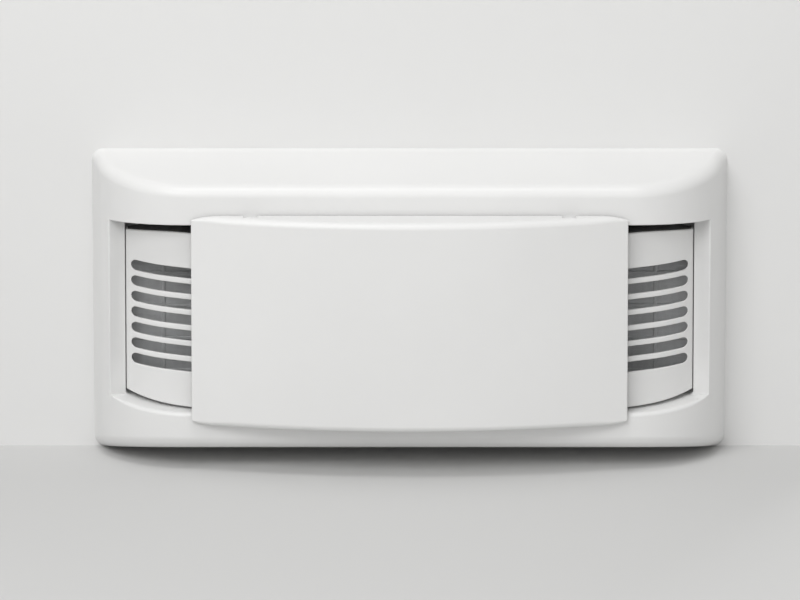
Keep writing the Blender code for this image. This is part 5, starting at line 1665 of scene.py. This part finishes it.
class AC_OT_heat_exchangers(bpy.types.Operator):
    """Model the evaporator and condenser with fins, plates and tubes"""
    bl_idname = "air_conditioner.heat_exchangers"
    bl_label = "Heat exchangers"

    def execute(self, context):
        sizes = context.scene.ac_inside
        make_heat_exchanger(sizes, "evaporator_coil", 5)
        make_heat_exchanger(sizes, "condenser_coil", 6)
        return {"FINISHED"}


class AC_OT_fans(bpy.types.Operator):
    """Model the blower wheel, outdoor fan, motor and shaft"""
    bl_idname = "air_conditioner.fans"
    bl_label = "Fans and motor"

    def execute(self, context):
        sizes = context.scene.ac_inside
        make_blower_wheel(sizes)
        make_condenser_fan(sizes)
        make_motor()
        return {"FINISHED"}


class AC_OT_refrigeration(bpy.types.Operator):
    """Model the compressor, vessels, capacitor and copper tubes"""
    bl_idname = "air_conditioner.refrigeration"
    bl_label = "Refrigerant circuit"

    def execute(self, context):
        make_compressor()
        make_vessels()
        make_tubes()
        return {"FINISHED"}


class AC_OT_cabinet(bpy.types.Operator):
    """Model the cabinet with its louvre hoods, and its screws"""
    bl_idname = "air_conditioner.cabinet"
    bl_label = "Cabinet and screws"

    def execute(self, context):
        make_cabinet(context.scene.ac_inside)
        make_screws()
        return {"FINISHED"}


class AC_OT_chassis(bpy.types.Operator):
    """Model the sheet-metal chassis, rear guard, foam and rubber pieces"""
    bl_idname = "air_conditioner.chassis"
    bl_label = "Chassis pieces"

    def execute(self, context):
        make_chassis_sheets()
        make_turned_rubber()
        return {"FINISHED"}


class AC_OT_stage(bpy.types.Operator):
    """Set up the floor, backdrop, lights and camera"""
    bl_idname = "air_conditioner.stage"
    bl_label = "Stage"

    def execute(self, context):
        make_stage(context.scene.ac_colours)
        return {"FINISHED"}


OPERATORS = (
    AC_OT_front_bezel, AC_OT_grille_insert, AC_OT_front_cover, AC_OT_air_filters, AC_OT_controls,
    AC_OT_heat_exchangers, AC_OT_fans, AC_OT_refrigeration, AC_OT_cabinet, AC_OT_chassis, AC_OT_stage,
)


class AC_PT_pieces(bpy.types.Panel):
    """Lists the air conditioner's pieces, sizes and colours"""
    bl_idname = "AC_PT_pieces"
    bl_label = "Air Conditioner"
    bl_space_type = "VIEW_3D"
    bl_region_type = "UI"
    bl_category = "Air Conditioner"

    def draw(self, context):
        column = self.layout.column(align=True)
        for operator in OPERATORS:
            column.operator(operator.bl_idname)
        for group in (context.scene.ac_casing, context.scene.ac_inside, context.scene.ac_colours):
            box = self.layout.box()
            for name in group.__annotations__:
                box.prop(group, name)


CLASSES = (CasingSizes, InsideSizes, FinishColours, *OPERATORS, AC_PT_pieces)


def register():
    for kind in CLASSES:
        bpy.utils.register_class(kind)
    bpy.types.Scene.ac_casing = PointerProperty(type=CasingSizes)
    bpy.types.Scene.ac_inside = PointerProperty(type=InsideSizes)
    bpy.types.Scene.ac_colours = PointerProperty(type=FinishColours)


def unregister():
    for name in ("ac_casing", "ac_inside", "ac_colours"):
        delattr(bpy.types.Scene, name)
    for kind in reversed(CLASSES):
        bpy.utils.unregister_class(kind)


def main():
    register()
    for operator in OPERATORS:
        group, name = operator.bl_idname.split(".")
        getattr(getattr(bpy.ops, group), name)()
    bpy.context.view_layer.update()


if __name__ == "__main__":
    main()
